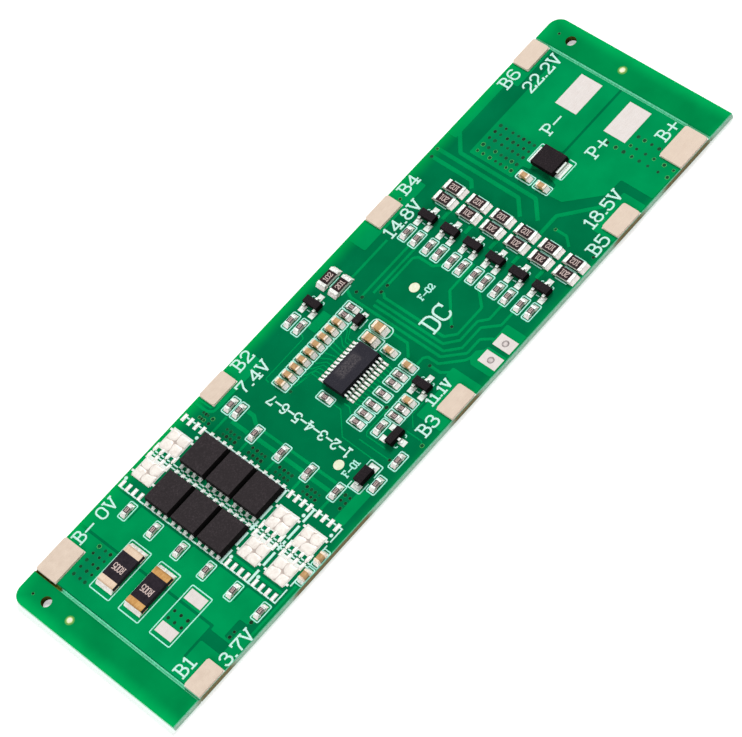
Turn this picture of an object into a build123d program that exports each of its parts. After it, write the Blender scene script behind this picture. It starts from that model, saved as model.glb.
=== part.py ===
from build123d import *
from collections import namedtuple
import os

# Battery management board for seven cells in series: a long green circuit board with nickel weld
# tabs for the cell taps along both long edges, two current shunts and a bank of power transistors at
# one end, the controller and its filter parts in the middle, six cell-balancing channels beyond them,
# and the output pads at the other end. A break-off handling rail outside a V-groove closes each end.
#
# Frame: X runs along the board from the shunt end to the output end, Y across it, Z up from the
# underside. The origin is the middle of the underside. Millimetres.

# Laminate, and the flat metal that lies on it
BOARD_THICKNESS = 1.0
RAIL_WIDTH = 5.1
ROUTED_CORNER_RADIUS = 2.0
GROOVE_WIDTH = 0.5
GROOVE_DEPTH = 0.3
SNAPPED_EDGE_CHAMFER = 0.1
PAD_THICKNESS = 0.05
TOOLING_HOLE_RADIUS = 0.85
TOOLING_HOLE_INSET = 5.0
RAIL_TARGET_RADIUS = 0.5
SHUNT_END_TARGET_INSET = 10.0
OUTPUT_END_TARGET_INSET = 15.2
BOARD_TARGET_RADIUS = 0.8

# Nickel weld tabs: a large one for each end of the cell string, small ones for the taps between
TAB_THICKNESS = 0.3
TAB_EDGE_INSET = 0.05
TAB_GROOVE_GAP = 0.15
TAB_CORNER_RADIUS = 0.4
TAB_PAD_MARGIN = 0.04
SMALL_TAB_LENGTH = 4.9
SMALL_TAB_DEPTH = 3.1
LARGE_TAB_LENGTH = 6.0
LARGE_TAB_DEPTH = 4.1

# Small chip parts, 1.6 by 0.8 mm: gate, filter and sense resistors, and the ceramic capacitors
SMALL_LENGTH = 1.6
SMALL_WIDTH = 0.8
SMALL_BAND = 0.32
SMALL_RESISTOR_HEIGHT = 0.45
SMALL_CAPACITOR_HEIGHT = 0.8
SMALL_JOINT_REACH = 0.42

# Medium capacitors beside the controller, 2.0 by 1.25 mm
MEDIUM_LENGTH = 2.0
MEDIUM_WIDTH = 1.25
MEDIUM_BAND = 0.42
MEDIUM_HEIGHT = 0.9
MEDIUM_JOINT_REACH = 0.45

# Load resistors, 3.2 by 1.6 mm, which bleed charge from a full cell
LOAD_LENGTH = 3.2
LOAD_WIDTH = 1.6
LOAD_BAND = 0.5
LOAD_HEIGHT = 0.55
LOAD_JOINT_REACH = 0.45

# Current shunts, 6.4 by 3.2 mm
SHUNT_LENGTH = 6.4
SHUNT_WIDTH = 3.2
SHUNT_BAND = 1.08
SHUNT_HEIGHT = 0.7
SHUNT_JOINT_REACH = 0.62

# What all the chip parts share
PLATING = 0.05
JOINT_SIDE_MARGIN = 0.06
JOINT_UNDERLAP = 0.06
JOINT_CLIMB = 0.7

# Power transistors in flat eight-pin packages, and their lands
MOSFET_LENGTH = 5.6
MOSFET_WIDTH = 4.9
MOSFET_HEIGHT = 1.05
MOSFET_PIN_PITCH = 1.27
MOSFET_PIN_WIDTH = 0.42
MOSFET_PIN_REACH = 0.25
MOSFET_PIN_THICKNESS = 0.22
MOSFET_DRAFT = 9.0
MOSFET_TOOTH_LENGTH = 1.28
MOSFET_TOOTH_WIDTH = 0.6
MOSFET_DRAIN_LENGTH = 3.7
MOSFET_DRAIN_WIDTH = 3.95
MOSFET_DRAIN_TOOTH = 0.62
MOSFET_LAND_GAP = 1.28
MOSFET_NUB_LENGTH = 0.36
MOSFET_NUB_REACH = 0.4
MOSFET_NUB_INSET = 0.32
MOSFET_COLUMN_GAP = 0.34
MOSFET_ROW_GAP = 0.56
MOSFET_ROWS = 6
FITTED_ROWS = (1, 2, 3)

# Controller: a 24-pin gull-wing package
CONTROLLER_LENGTH = 8.0
CONTROLLER_WIDTH = 3.9
CONTROLLER_HEIGHT = 1.3
CONTROLLER_PITCH = 0.65
CONTROLLER_PINS_PER_SIDE = 12
CONTROLLER_PIN_WIDTH = 0.26
CONTROLLER_SPAN = 6.4
CONTROLLER_LAND_LENGTH = 1.35
CONTROLLER_LAND_REACH = 0.33

# Small transistors with three gull-wing leads
TRANSISTOR_LENGTH = 2.9
TRANSISTOR_WIDTH = 1.3
TRANSISTOR_HEIGHT = 0.95
TRANSISTOR_LEAD_SPREAD = 1.02
TRANSISTOR_LEAD_WIDTH = 0.42
TRANSISTOR_SPAN = 2.7
TRANSISTOR_LAND_LENGTH = 1.2
TRANSISTOR_LAND_WIDTH = 0.95
TRANSISTOR_LAND_SPAN = 3.88

# Diodes: body length runs along the leads
Diode = namedtuple("Diode", "length width height lead_width span land_length land_width land_span")
SIGNAL_DIODE = Diode(1.7, 1.25, 0.85, 0.35, 2.5, 0.8, 0.9, 3.12)
ZENER_DIODE = Diode(2.7, 1.6, 1.0, 0.6, 3.6, 1.0, 1.55, 4.5)
CLAMP_DIODE = Diode(4.3, 3.6, 1.1, 2.1, 5.3, 1.35, 2.8, 6.2)

# What the moulded packages share
LEAD_THICKNESS = 0.15
LEAD_STAND_OFF = 0.08
MOULD_DRAFT = 8.0

# Bare pads
POWER_PAD_LENGTH = 6.0
POWER_PAD_WIDTH = 4.1
POWER_PAD_Y = (4.5, -5.0)
PROBE_PAD_LENGTH = 2.1
PROBE_PAD_WIDTH = 3.25
PROBE_PAD_SPACING = 3.15
PROBE_PAD_EDGE_GAP = 0.38
PROBE_HOLE_RADIUS = 0.5
PROBE_DIMPLE_DEPTH = 0.16

# Rows across the board
SHUNT_ROWS = (6.4, 0.5, -5.9)
FITTED_SHUNTS = (0, 1)
EDGE_TO_FIRST_MOSFET = 0.18
MOSFET_TO_BYPASS = 0.5
BYPASS_TO_EDGE = 0.16
BYPASS_SPREAD = 1.6
GATE_RESISTOR_DROP = 1.98
DRIVE_RESISTOR_RISE = 2.04
DRIVE_PAIR_SPREAD = 0.85
DRIVE_PAIR_SHIFT = 1.35
CHANNELS = 6
CHANNEL_PITCH = 4.49
CHANNEL_EDGE_GAP = 3.44
CHANNEL_PAIR_SPREAD = 1.02
LOAD_ROW_GAP = 0.62
LOAD_EDGE_GAP = 0.25

# Gaps along the board, from the V-groove at the shunt end to the one at the output end, each between
# the lands of one column and those of the next
GROOVE_TO_SHUNT = 3.58
SHUNT_TO_GATE = 1.85
GATE_TO_MOSFET = 0.82
MOSFET_TO_DRIVE = 2.1
DRIVE_TO_CONTROLLER = 10.2
CONTROLLER_TO_CHANNEL = 16.3
CHANNEL_TO_TRANSISTOR = 0.51
TRANSISTOR_TO_LOAD = 0.78
LOAD_TO_LOAD = 0.51
LOAD_TO_OUTPUT = 5.85
OUTPUT_TO_CLAMP = 1.64
CLAMP_TO_POWER = 6.6
POWER_TO_GROOVE = 1.15

# Places round the controller, as X and Y from its centre. A third number is a turn in degrees
CONTROLLER_Y = 0.45
FILTER_ROW_START = -7.34
FILTER_ROW_RISE = 7.5
FILTER_CELL_GAP = 0.696
FILTER_CAPACITORS = 9
FILTER_RESISTORS = 2
STANDING_RESISTORS = (
    (-5.4, 0.4),
    (-5.75, -6.15),
    (-4.1, -6.15),
    (-2.4, -6.15),
    (-0.28, -6.15),
    (1.8, -6.15),
    (3.3, -6.15),
    (-2.0, -10.15),
    (-0.53, -10.15),
)
STANDING_CAPACITORS = ((5.09, -6.2), (0.9, -10.15), (5.4, -2.25))
MEDIUM_CAPACITORS = ((5.2, 1.45), (7.35, 1.55))
MIDDLE_TRANSISTOR = (3.95, -10.15, 0)
SIGNAL_DIODE_AT = (6.65, 5.08)
MARK_TARGETS = ((-12.1, -8.65), (15.25, 2.15))

# Places along the upper edge, as X from the controller's centre and the distance in from the edge
UPPER_TRANSISTOR = (4.86, 3.75, 0)
UPPER_RESISTORS = ((1.0, 2.78), (1.0, 4.73))
UPPER_LOAD_RESISTORS = ((9.35, 2.58), (9.35, 5.03))

# Places along the lower edge, measured the same way
LOWER_TRANSISTOR = (-4.38, 4.88, -90)
LOWER_RESISTORS = ((-11.35, 2.03), (-6.9, 2.03), (-4.42, 7.83))
ZENER_DIODE_AT = (-11.4, 4.28)
PROBE_FROM_CHANNEL = 7.5

# Taps along the two long edges, as the middle of each small tab from the nearest column
TAP_2_FROM_DRIVE = 2.25
TAP_3_FROM_CONTROLLER = 4.7
TAP_4_FROM_CHANNEL = 0.75
TAP_5_FROM_CLAMP = -2.0
TAP_6_FROM_GROOVE = 2.6

# Chip part sizes
Chip = namedtuple("Chip", "length width height band reach")
SMALL_RESISTOR = Chip(SMALL_LENGTH, SMALL_WIDTH, SMALL_RESISTOR_HEIGHT, SMALL_BAND, SMALL_JOINT_REACH)
SMALL_CAPACITOR = Chip(SMALL_LENGTH, SMALL_WIDTH, SMALL_CAPACITOR_HEIGHT, SMALL_BAND, SMALL_JOINT_REACH)
MEDIUM_CAPACITOR = Chip(MEDIUM_LENGTH, MEDIUM_WIDTH, MEDIUM_HEIGHT, MEDIUM_BAND, MEDIUM_JOINT_REACH)
LOAD_RESISTOR = Chip(LOAD_LENGTH, LOAD_WIDTH, LOAD_HEIGHT, LOAD_BAND, LOAD_JOINT_REACH)
SHUNT = Chip(SHUNT_LENGTH, SHUNT_WIDTH, SHUNT_HEIGHT, SHUNT_BAND, SHUNT_JOINT_REACH)


def land_half_length(chip):
    return chip.length / 2 + chip.reach


def land_width(chip):
    return chip.width + 2 * JOINT_SIDE_MARGIN


# Board size, worked out from what it carries
mosfet_row_pitch = MOSFET_WIDTH + MOSFET_ROW_GAP
bypass_width = land_width(SMALL_CAPACITOR)
board_width = (
    EDGE_TO_FIRST_MOSFET
    + (MOSFET_ROWS - 1) * mosfet_row_pitch
    + MOSFET_WIDTH
    + MOSFET_TO_BYPASS
    + bypass_width
    + BYPASS_TO_EDGE
)
mosfet_land_length = MOSFET_TOOTH_LENGTH + MOSFET_LAND_GAP + MOSFET_DRAIN_LENGTH + MOSFET_DRAIN_TOOTH
mosfet_bank_half = mosfet_land_length + MOSFET_COLUMN_GAP / 2
small_land_half = land_half_length(SMALL_RESISTOR)
load_half_width = land_width(LOAD_RESISTOR) / 2

# Columns along the board, measured from the V-groove at the shunt end
shunt_column = GROOVE_TO_SHUNT + land_half_length(SHUNT)
gate_column = shunt_column + land_half_length(SHUNT) + SHUNT_TO_GATE + small_land_half
mosfet_column = gate_column + small_land_half + GATE_TO_MOSFET + mosfet_bank_half
drive_column = mosfet_column + mosfet_bank_half + MOSFET_TO_DRIVE + small_land_half
controller_column = drive_column + small_land_half + DRIVE_TO_CONTROLLER + CONTROLLER_LENGTH / 2
channel_column = controller_column + CONTROLLER_LENGTH / 2 + CONTROLLER_TO_CHANNEL + small_land_half
transistor_column = channel_column + small_land_half + CHANNEL_TO_TRANSISTOR + TRANSISTOR_LAND_SPAN / 2
first_load_column = transistor_column + TRANSISTOR_LAND_SPAN / 2 + TRANSISTOR_TO_LOAD + load_half_width
second_load_column = first_load_column + 2 * load_half_width + LOAD_TO_LOAD
output_column = second_load_column + load_half_width + LOAD_TO_OUTPUT + bypass_width / 2
clamp_column = output_column + bypass_width / 2 + OUTPUT_TO_CLAMP + CLAMP_DIODE.width / 2
power_column = clamp_column + CLAMP_DIODE.width / 2 + CLAMP_TO_POWER + POWER_PAD_LENGTH / 2
core_length = power_column + POWER_PAD_LENGTH / 2 + POWER_TO_GROOVE
board_length = core_length + 2 * RAIL_WIDTH

groove_x = core_length / 2
top_edge = board_width / 2
bottom_edge = -board_width / 2
pad_seat = BOARD_THICKNESS
part_seat = BOARD_THICKNESS + PAD_THICKNESS


def along(distance):
    """X of a column that lies this far from the V-groove at the shunt end."""
    return distance - core_length / 2


def block(length, width, height):
    return Box(length, width, height, align=(Align.CENTER, Align.CENTER, Align.MIN))


def profile_bar(points, width):
    """A bar whose outline in X and Z is given, as wide as asked across Y."""
    outline = make_face(Polyline(*points, close=True))
    return extrude(Plane.XZ * outline, width / 2, both=True)


def place(part, x, y, z, turn=0):
    return Pos(x, y, z) * Rot(0, 0, turn) * part


def write(node, solids):
    solids = list(solids)
    shape = solids[0] if len(solids) == 1 else Compound(children=solids)
    export_step(shape, f"parts/{node}.step")


# The laminate: routed to round corners along one long edge, snapped from its neighbour along the
# other, scored across both ends for the rails
def circuit_board(probe_holes):
    outline = Rectangle(board_length, board_width)
    outline = fillet(outline.vertices().group_by(Axis.Y)[-1], ROUTED_CORNER_RADIUS)
    board = extrude(outline, BOARD_THICKNESS)
    snapped = board.edges().filter_by(Axis.X).group_by(Axis.Y)[0]
    board = chamfer(snapped, SNAPPED_EDGE_CHAMFER)
    for end in (-1, 1):
        board -= place(rail_groove(BOARD_THICKNESS, -GROOVE_DEPTH), end * groove_x, 0, 0)
        board -= place(rail_groove(0, GROOVE_DEPTH), end * groove_x, 0, 0)
        tooling = Pos(end * (groove_x + RAIL_WIDTH / 2), top_edge - TOOLING_HOLE_INSET)
        board -= tooling * Cylinder(TOOLING_HOLE_RADIUS, 3 * BOARD_THICKNESS)
    for x, y in probe_holes:
        board -= Pos(x, y) * Cylinder(PROBE_HOLE_RADIUS, 3 * BOARD_THICKNESS)
    return board


def rail_groove(surface, depth):
    """One side of the V-groove, cut from a surface towards the middle of the laminate."""
    half = GROOVE_WIDTH / 2
    return profile_bar([(-half, surface), (half, surface), (0, surface + depth)], 2 * board_width)


def target(x, y, radius):
    return place(Cylinder(radius, PAD_THICKNESS, align=(Align.CENTER, Align.CENTER, Align.MIN)), x, y, pad_seat)


# Nickel tabs, each soldered to a pad of its own at the board's edge
def weld_tab(length, depth):
    outline = RectangleRounded(length, depth, TAB_CORNER_RADIUS)
    return extrude(outline, TAB_THICKNESS)


def tab_middle(edge, depth):
    """Y of a tab's middle, with its outer side just inside the board's edge."""
    side = 1 if edge > 0 else -1
    return edge - side * (TAB_EDGE_INSET + depth / 2)


large_tab_x = groove_x - TAB_GROOVE_GAP - LARGE_TAB_LENGTH / 2
small_end_tab_x = groove_x - TAB_GROOVE_GAP - SMALL_TAB_LENGTH / 2
LARGE = (LARGE_TAB_LENGTH, LARGE_TAB_DEPTH)
SMALL = (SMALL_TAB_LENGTH, SMALL_TAB_DEPTH)
tabs = {
    "tab_b_minus": (-large_tab_x, top_edge, LARGE),
    "tab_b1": (-small_end_tab_x, bottom_edge, SMALL),
    "tab_b2": (along(drive_column) + TAP_2_FROM_DRIVE, top_edge, SMALL),
    "tab_b3": (along(controller_column) + TAP_3_FROM_CONTROLLER, bottom_edge, SMALL),
    "tab_b4": (along(channel_column) + TAP_4_FROM_CHANNEL, top_edge, SMALL),
    "tab_b5": (along(clamp_column) + TAP_5_FROM_CLAMP, bottom_edge, SMALL),
    "tab_b6": (groove_x - TAP_6_FROM_GROOVE, top_edge, SMALL),
    "tab_b_plus": (large_tab_x, bottom_edge, LARGE),
}


# Chip parts: a ceramic block with a plated band round each end, soldered to two lands
def end_bands(chip):
    """The two plated ends as plain blocks, for a part with metal on all its end faces."""
    offset = (chip.length - chip.band) / 2
    band = block(chip.band, chip.width, chip.height)
    return [Pos(side * offset, 0, 0) * band for side in (-1, 1)]


def end_channels(chip):
    """The two plated ends folded over the top, end and underside, leaving the sides bare."""
    outer, inner = chip.length / 2, chip.length / 2 - chip.band
    top = chip.height
    outline = [
        (inner, 0),
        (outer, 0),
        (outer, top),
        (inner, top),
        (inner, top - PLATING),
        (outer - PLATING, top - PLATING),
        (outer - PLATING, PLATING),
        (inner, PLATING),
    ]
    channel = profile_bar(outline, chip.width)
    return [Rot(0, 0, turn) * channel for turn in (0, 180)]


def ceramic_between_bands(chip, inset):
    core = block(chip.length - 2 * chip.band, chip.width - 2 * inset, chip.height - 2 * inset)
    return Pos(0, 0, inset) * core


def ceramic_in_channels(chip):
    core = block(chip.length - 2 * PLATING, chip.width, chip.height - 2 * PLATING)
    return Pos(0, 0, PLATING) * core


def overcoat(chip):
    """The dark glaze on a resistor, level with the plating at both ends."""
    coat = block(chip.length - 2 * chip.band, chip.width, PLATING)
    return Pos(0, 0, chip.height - PLATING) * coat


def solder_joints(chip):
    """Both lands with their solder, which climbs the part's end face and thins to nothing at the
    land's outer end. Starts on the board."""
    end = chip.length / 2
    inner = end - chip.band - JOINT_UNDERLAP
    outer = end + chip.reach
    climb = PAD_THICKNESS + JOINT_CLIMB * chip.height
    outline = [
        (inner, 0),
        (outer, 0),
        (end, climb),
        (end, PAD_THICKNESS),
        (inner, PAD_THICKNESS),
    ]
    joint = profile_bar(outline, land_width(chip))
    return [Rot(0, 0, turn) * joint for turn in (0, 180)]


def bare_lands(chip):
    """The two empty lands of a part that isn't fitted."""
    inner = chip.length / 2 - chip.band - JOINT_UNDERLAP
    outer = chip.length / 2 + chip.reach
    land = block(outer - inner, land_width(chip), PAD_THICKNESS)
    return [Pos(side * (outer + inner) / 2, 0, 0) * land for side in (-1, 1)]


def at_each(places, parts, z):
    """Each part at each place, where a place is X, Y and a turn."""
    return [place(part, x, y, z, turn) for x, y, turn in places for part in parts]


# Moulded packages: a belt where the leads come out, tapered above and below it
def moulded_body(length, width, height, belt_from):
    upper = height - belt_from - LEAD_THICKNESS
    outline = Rectangle(length, width)
    belt = Pos(0, 0, belt_from) * block(length, width, LEAD_THICKNESS)
    crown = extrude(Pos(0, 0, belt_from + LEAD_THICKNESS) * outline, upper, taper=MOULD_DRAFT)
    base_depth = belt_from - LEAD_STAND_OFF
    base = extrude(Pos(0, 0, belt_from) * outline, base_depth, dir=(0, 0, -1), taper=MOULD_DRAFT)
    return belt + crown + base


def gull_lead(wall, tip, width, exit_height):
    """A lead that leaves a wall at +X, turns down and ends in a flat foot."""
    knee = wall + (tip - wall) * 0.3
    heel = wall + (tip - wall) * 0.48
    top = exit_height + LEAD_THICKNESS
    outline = [
        (wall, exit_height),
        (knee, exit_height),
        (heel, 0),
        (tip, 0),
        (tip, LEAD_THICKNESS),
        (heel + LEAD_THICKNESS, LEAD_THICKNESS),
        (knee + LEAD_THICKNESS, top),
        (wall, top),
    ]
    return profile_bar(outline, width)


def belt_height(height):
    return (height - LEAD_THICKNESS) / 2


def flat_land(span, length, width):
    """A land whose outer end lies at half the span, towards +X."""
    return Pos((span - length) / 2, 0, 0) * block(length, width, PAD_THICKNESS)


def transistor_leads():
    """Two leads on the -X side and one on the +X side."""
    lead = gull_lead(
        TRANSISTOR_WIDTH / 2, TRANSISTOR_SPAN / 2, TRANSISTOR_LEAD_WIDTH, belt_height(TRANSISTOR_HEIGHT)
    )
    return on_three_corners(lead)


def transistor_lands():
    return on_three_corners(flat_land(TRANSISTOR_LAND_SPAN, TRANSISTOR_LAND_LENGTH, TRANSISTOR_LAND_WIDTH))


def on_three_corners(part):
    pair = [Pos(0, side * TRANSISTOR_LEAD_SPREAD, 0) * Rot(0, 0, 180) * part for side in (-1, 1)]
    return pair + [part]


def transistor_body():
    return moulded_body(
        TRANSISTOR_WIDTH, TRANSISTOR_LENGTH, TRANSISTOR_HEIGHT, belt_height(TRANSISTOR_HEIGHT)
    )


def diode_body(diode):
    return moulded_body(diode.length, diode.width, diode.height, belt_height(diode.height))


def diode_leads(diode):
    lead = gull_lead(diode.length / 2, diode.span / 2, diode.lead_width, belt_height(diode.height))
    return [Rot(0, 0, turn) * lead for turn in (0, 180)]


def diode_lands(diode):
    land = flat_land(diode.land_span, diode.land_length, diode.land_width)
    return [Rot(0, 0, turn) * land for turn in (0, 180)]


# Controller: leads along both long sides
def controller_rows(part):
    """A copy of the part at each pin, turned to face away from the body."""
    first = -(CONTROLLER_PINS_PER_SIDE - 1) / 2 * CONTROLLER_PITCH
    pins = [first + pin * CONTROLLER_PITCH for pin in range(CONTROLLER_PINS_PER_SIDE)]
    return [Pos(x, 0, 0) * Rot(0, 0, turn) * part for turn in (90, -90) for x in pins]


def controller_leads():
    lead = gull_lead(
        CONTROLLER_WIDTH / 2, CONTROLLER_SPAN / 2, CONTROLLER_PIN_WIDTH, belt_height(CONTROLLER_HEIGHT)
    )
    return controller_rows(lead)


def controller_lands():
    span = CONTROLLER_SPAN + 2 * CONTROLLER_LAND_REACH
    width = (CONTROLLER_PITCH + CONTROLLER_PIN_WIDTH) / 2 - PLATING
    return controller_rows(flat_land(span, CONTROLLER_LAND_LENGTH, width))


# Power transistors: pins on both sides, the source and gate side facing out of the bank. As drawn
# here that side faces -X
mosfet_pin_rows = [(pin - 1.5) * MOSFET_PIN_PITCH for pin in range(4)]


def mosfet_body():
    foot = block(MOSFET_LENGTH, MOSFET_WIDTH, MOSFET_PIN_THICKNESS)
    crown_outline = Pos(0, 0, MOSFET_PIN_THICKNESS) * Rectangle(MOSFET_LENGTH, MOSFET_WIDTH)
    crown = extrude(crown_outline, MOSFET_HEIGHT - MOSFET_PIN_THICKNESS, taper=MOSFET_DRAFT)
    return foot + crown


def mosfet_pins():
    pin = block(MOSFET_PIN_REACH, MOSFET_PIN_WIDTH, MOSFET_PIN_THICKNESS)
    offset = (MOSFET_LENGTH + MOSFET_PIN_REACH) / 2
    return [Pos(side * offset, y, 0) * pin for side in (-1, 1) for y in mosfet_pin_rows]


def mosfet_lands():
    """Four gate and source lands, and the comb-shaped drain land."""
    outer = -mosfet_land_length / 2
    tooth = block(MOSFET_TOOTH_LENGTH, MOSFET_TOOTH_WIDTH, PAD_THICKNESS)
    teeth = [Pos(outer + MOSFET_TOOTH_LENGTH / 2, y, 0) * tooth for y in mosfet_pin_rows]
    drain_start = outer + MOSFET_TOOTH_LENGTH + MOSFET_LAND_GAP
    drain_end = drain_start + MOSFET_DRAIN_LENGTH
    outline = Pos((drain_start + drain_end) / 2, 0) * Rectangle(MOSFET_DRAIN_LENGTH, MOSFET_DRAIN_WIDTH)
    for y in mosfet_pin_rows:
        reach = Rectangle(2 * MOSFET_DRAIN_TOOTH, MOSFET_TOOTH_WIDTH)
        outline += Pos(drain_end, y) * reach
    nub_x = drain_start + MOSFET_NUB_INSET + MOSFET_NUB_LENGTH / 2
    nub_span = MOSFET_DRAIN_WIDTH + 2 * MOSFET_NUB_REACH
    outline += Pos(nub_x, 0) * Rectangle(MOSFET_NUB_LENGTH, nub_span)
    return teeth + [extrude(outline, PAD_THICKNESS)]


mosfet_offset = (mosfet_land_length + MOSFET_COLUMN_GAP) / 2
mosfet_rows = [
    top_edge - EDGE_TO_FIRST_MOSFET - MOSFET_WIDTH / 2 - row * mosfet_row_pitch for row in range(MOSFET_ROWS)
]
mosfet_sites = [
    (along(mosfet_column) + side * mosfet_offset, y, 0 if side < 0 else 180)
    for side in (-1, 1)
    for y in mosfet_rows
]
fitted_mosfets = [site for site in mosfet_sites if mosfet_rows.index(site[1]) in FITTED_ROWS]


# Places of everything else
def from_controller(points, turn):
    x0 = along(controller_column)
    return [(x0 + dx, CONTROLLER_Y + dy, turn) for dx, dy in points]


def in_from(edge, points, turn):
    """Sites a given distance in from a long edge, with X from the controller's centre."""
    x0 = along(controller_column)
    side = 1 if edge > 0 else -1
    return [(x0 + dx, edge - side * inset, turn) for dx, inset in points]


shunt_sites = [(along(shunt_column), y, 0) for y in SHUNT_ROWS]
fitted_shunts = [shunt_sites[row] for row in FITTED_SHUNTS]
spare_shunts = [site for site in shunt_sites if site not in fitted_shunts]

gate_sites = [(along(gate_column), y - GATE_RESISTOR_DROP, 0) for y in mosfet_rows]
drive_sites = [(along(drive_column), y + DRIVE_RESISTOR_RISE, 0) for y in mosfet_rows[2:]]
drive_pair_y = mosfet_rows[1] + DRIVE_RESISTOR_RISE
drive_sites += [
    (along(drive_column) + DRIVE_PAIR_SHIFT, drive_pair_y + side * DRIVE_PAIR_SPREAD, 0) for side in (-1, 1)
]

filter_pitch = SMALL_WIDTH + FILTER_CELL_GAP
filter_row = [
    (FILTER_ROW_START + cell * filter_pitch, FILTER_ROW_RISE)
    for cell in range(FILTER_CAPACITORS + FILTER_RESISTORS)
]
channel_rows = [bottom_edge + CHANNEL_EDGE_GAP + row * CHANNEL_PITCH for row in range(CHANNELS)]
channel_sites = [
    (along(channel_column), y + side * CHANNEL_PAIR_SPREAD, 0) for y in channel_rows for side in (-1, 1)
]
sense_sites = (
    from_controller(filter_row[FILTER_CAPACITORS:], 90)
    + from_controller(STANDING_RESISTORS, 90)
    + in_from(top_edge, UPPER_RESISTORS, 0)
    + in_from(bottom_edge, LOWER_RESISTORS, 0)
)

bypass_y = bottom_edge + BYPASS_TO_EDGE + bypass_width / 2
bypass_sites = [(along(mosfet_column) + side * BYPASS_SPREAD, bypass_y, 0) for side in (-1, 1)]
output_y = (land_half_length(SMALL_CAPACITOR) + 0.25, -land_half_length(SMALL_CAPACITOR) - 0.65)
output_sites = [(along(output_column), y, 90) for y in output_y]
capacitor_sites = (
    from_controller(filter_row[:FILTER_CAPACITORS] + list(STANDING_CAPACITORS), 90)
    + output_sites
    + bypass_sites
)
medium_sites = from_controller(MEDIUM_CAPACITORS, 90)

load_pitch = 2 * land_half_length(LOAD_RESISTOR) + LOAD_ROW_GAP
first_load_y = bottom_edge + LOAD_EDGE_GAP + land_half_length(LOAD_RESISTOR)
load_rows = [first_load_y + row * load_pitch for row in range(CHANNELS)]
load_sites = [(along(column), y, 90) for column in (first_load_column, second_load_column) for y in load_rows]
load_sites += in_from(top_edge, UPPER_LOAD_RESISTORS, 0)

balance_transistors = [(along(transistor_column), y, 0) for y in channel_rows]
control_transistors = (
    in_from(top_edge, [UPPER_TRANSISTOR[:2]], UPPER_TRANSISTOR[2])
    + from_controller([MIDDLE_TRANSISTOR[:2]], MIDDLE_TRANSISTOR[2])
    + in_from(bottom_edge, [LOWER_TRANSISTOR[:2]], LOWER_TRANSISTOR[2])
)
signal_site = from_controller([SIGNAL_DIODE_AT], 0)
zener_site = in_from(bottom_edge, [ZENER_DIODE_AT], 0)
clamp_site = [(along(clamp_column), 0, 90)]
controller_site = [(along(controller_column), CONTROLLER_Y, 0)]

probe_x = along(channel_column) - PROBE_FROM_CHANNEL
probe_y = bottom_edge + PROBE_PAD_EDGE_GAP + PROBE_PAD_WIDTH / 2
probe_sites = [(probe_x + side * PROBE_PAD_SPACING / 2, probe_y) for side in (-1, 1)]


def probe_pad():
    """A bare pad over a plated hole that solder has filled, leaving a dimple. Starts on the board."""
    pad = block(PROBE_PAD_LENGTH, PROBE_PAD_WIDTH, PAD_THICKNESS)
    filling = Cylinder(
        PROBE_HOLE_RADIUS, BOARD_THICKNESS, align=(Align.CENTER, Align.CENTER, Align.MAX)
    )
    dimple = Pos(0, 0, PAD_THICKNESS - PROBE_DIMPLE_DEPTH) * Cone(
        PROBE_HOLE_RADIUS / 2,
        PROBE_HOLE_RADIUS * 0.9,
        PROBE_DIMPLE_DEPTH,
        align=(Align.CENTER, Align.CENTER, Align.MIN),
    )
    return pad + filling - dimple


os.makedirs("parts", exist_ok=True)

write("circuit_board", [circuit_board(probe_sites)])

tab_lands = []
for node, (x, edge, (length, depth)) in tabs.items():
    y = tab_middle(edge, depth)
    write(node, [place(weld_tab(length, depth), x, y, part_seat)])
    land = block(length + 2 * TAB_PAD_MARGIN, depth + 2 * TAB_PAD_MARGIN, PAD_THICKNESS)
    tab_lands.append(place(land, x, y, pad_seat))
write("tab_lands", tab_lands)

power_pad = block(POWER_PAD_LENGTH, POWER_PAD_WIDTH, PAD_THICKNESS)
power_names = ("output_pad_minus", "output_pad_plus")
for node, y in zip(power_names, POWER_PAD_Y):
    write(node, [place(power_pad, along(power_column), y, pad_seat)])
write("probe_pads", [place(probe_pad(), x, y, pad_seat) for x, y in probe_sites])

target_insets = (SHUNT_END_TARGET_INSET, OUTPUT_END_TARGET_INSET)
rail_targets = [
    target(end * (groove_x + RAIL_WIDTH / 2), top_edge - inset, RAIL_TARGET_RADIUS)
    for end, inset in zip((-1, 1), target_insets)
]
board_targets = [target(x, y, BOARD_TARGET_RADIUS) for x, y, _ in from_controller(MARK_TARGETS, 0)]
write("alignment_targets", rail_targets + board_targets)

write("mosfet_lands", at_each(mosfet_sites, mosfet_lands(), pad_seat))
for number, site in enumerate(fitted_mosfets, start=1):
    write(f"mosfet_{number}", at_each([site], [mosfet_body()], part_seat))
write("mosfet_pins", at_each(fitted_mosfets, mosfet_pins(), part_seat))

write("shunt_elements", at_each(fitted_shunts, [ceramic_in_channels(SHUNT)], part_seat))
write("shunt_covers", at_each(fitted_shunts, [overcoat(SHUNT)], part_seat))
for number, site in enumerate(fitted_shunts, start=1):
    write(f"shunt_{number}_ends", at_each([site], end_channels(SHUNT), part_seat))
write("shunt_joints", at_each(fitted_shunts, solder_joints(SHUNT), pad_seat))
write("spare_shunt_lands", at_each(spare_shunts, bare_lands(SHUNT), pad_seat))

for name, sites in (("gate", gate_sites + drive_sites), ("channel", channel_sites), ("sense", sense_sites)):
    write(f"{name}_resistor_ceramics", at_each(sites, [ceramic_between_bands(SMALL_RESISTOR, 0)], part_seat))
    write(f"{name}_resistor_ends", at_each(sites, end_bands(SMALL_RESISTOR), part_seat))
    write(f"{name}_resistor_joints", at_each(sites, solder_joints(SMALL_RESISTOR), pad_seat))

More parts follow.
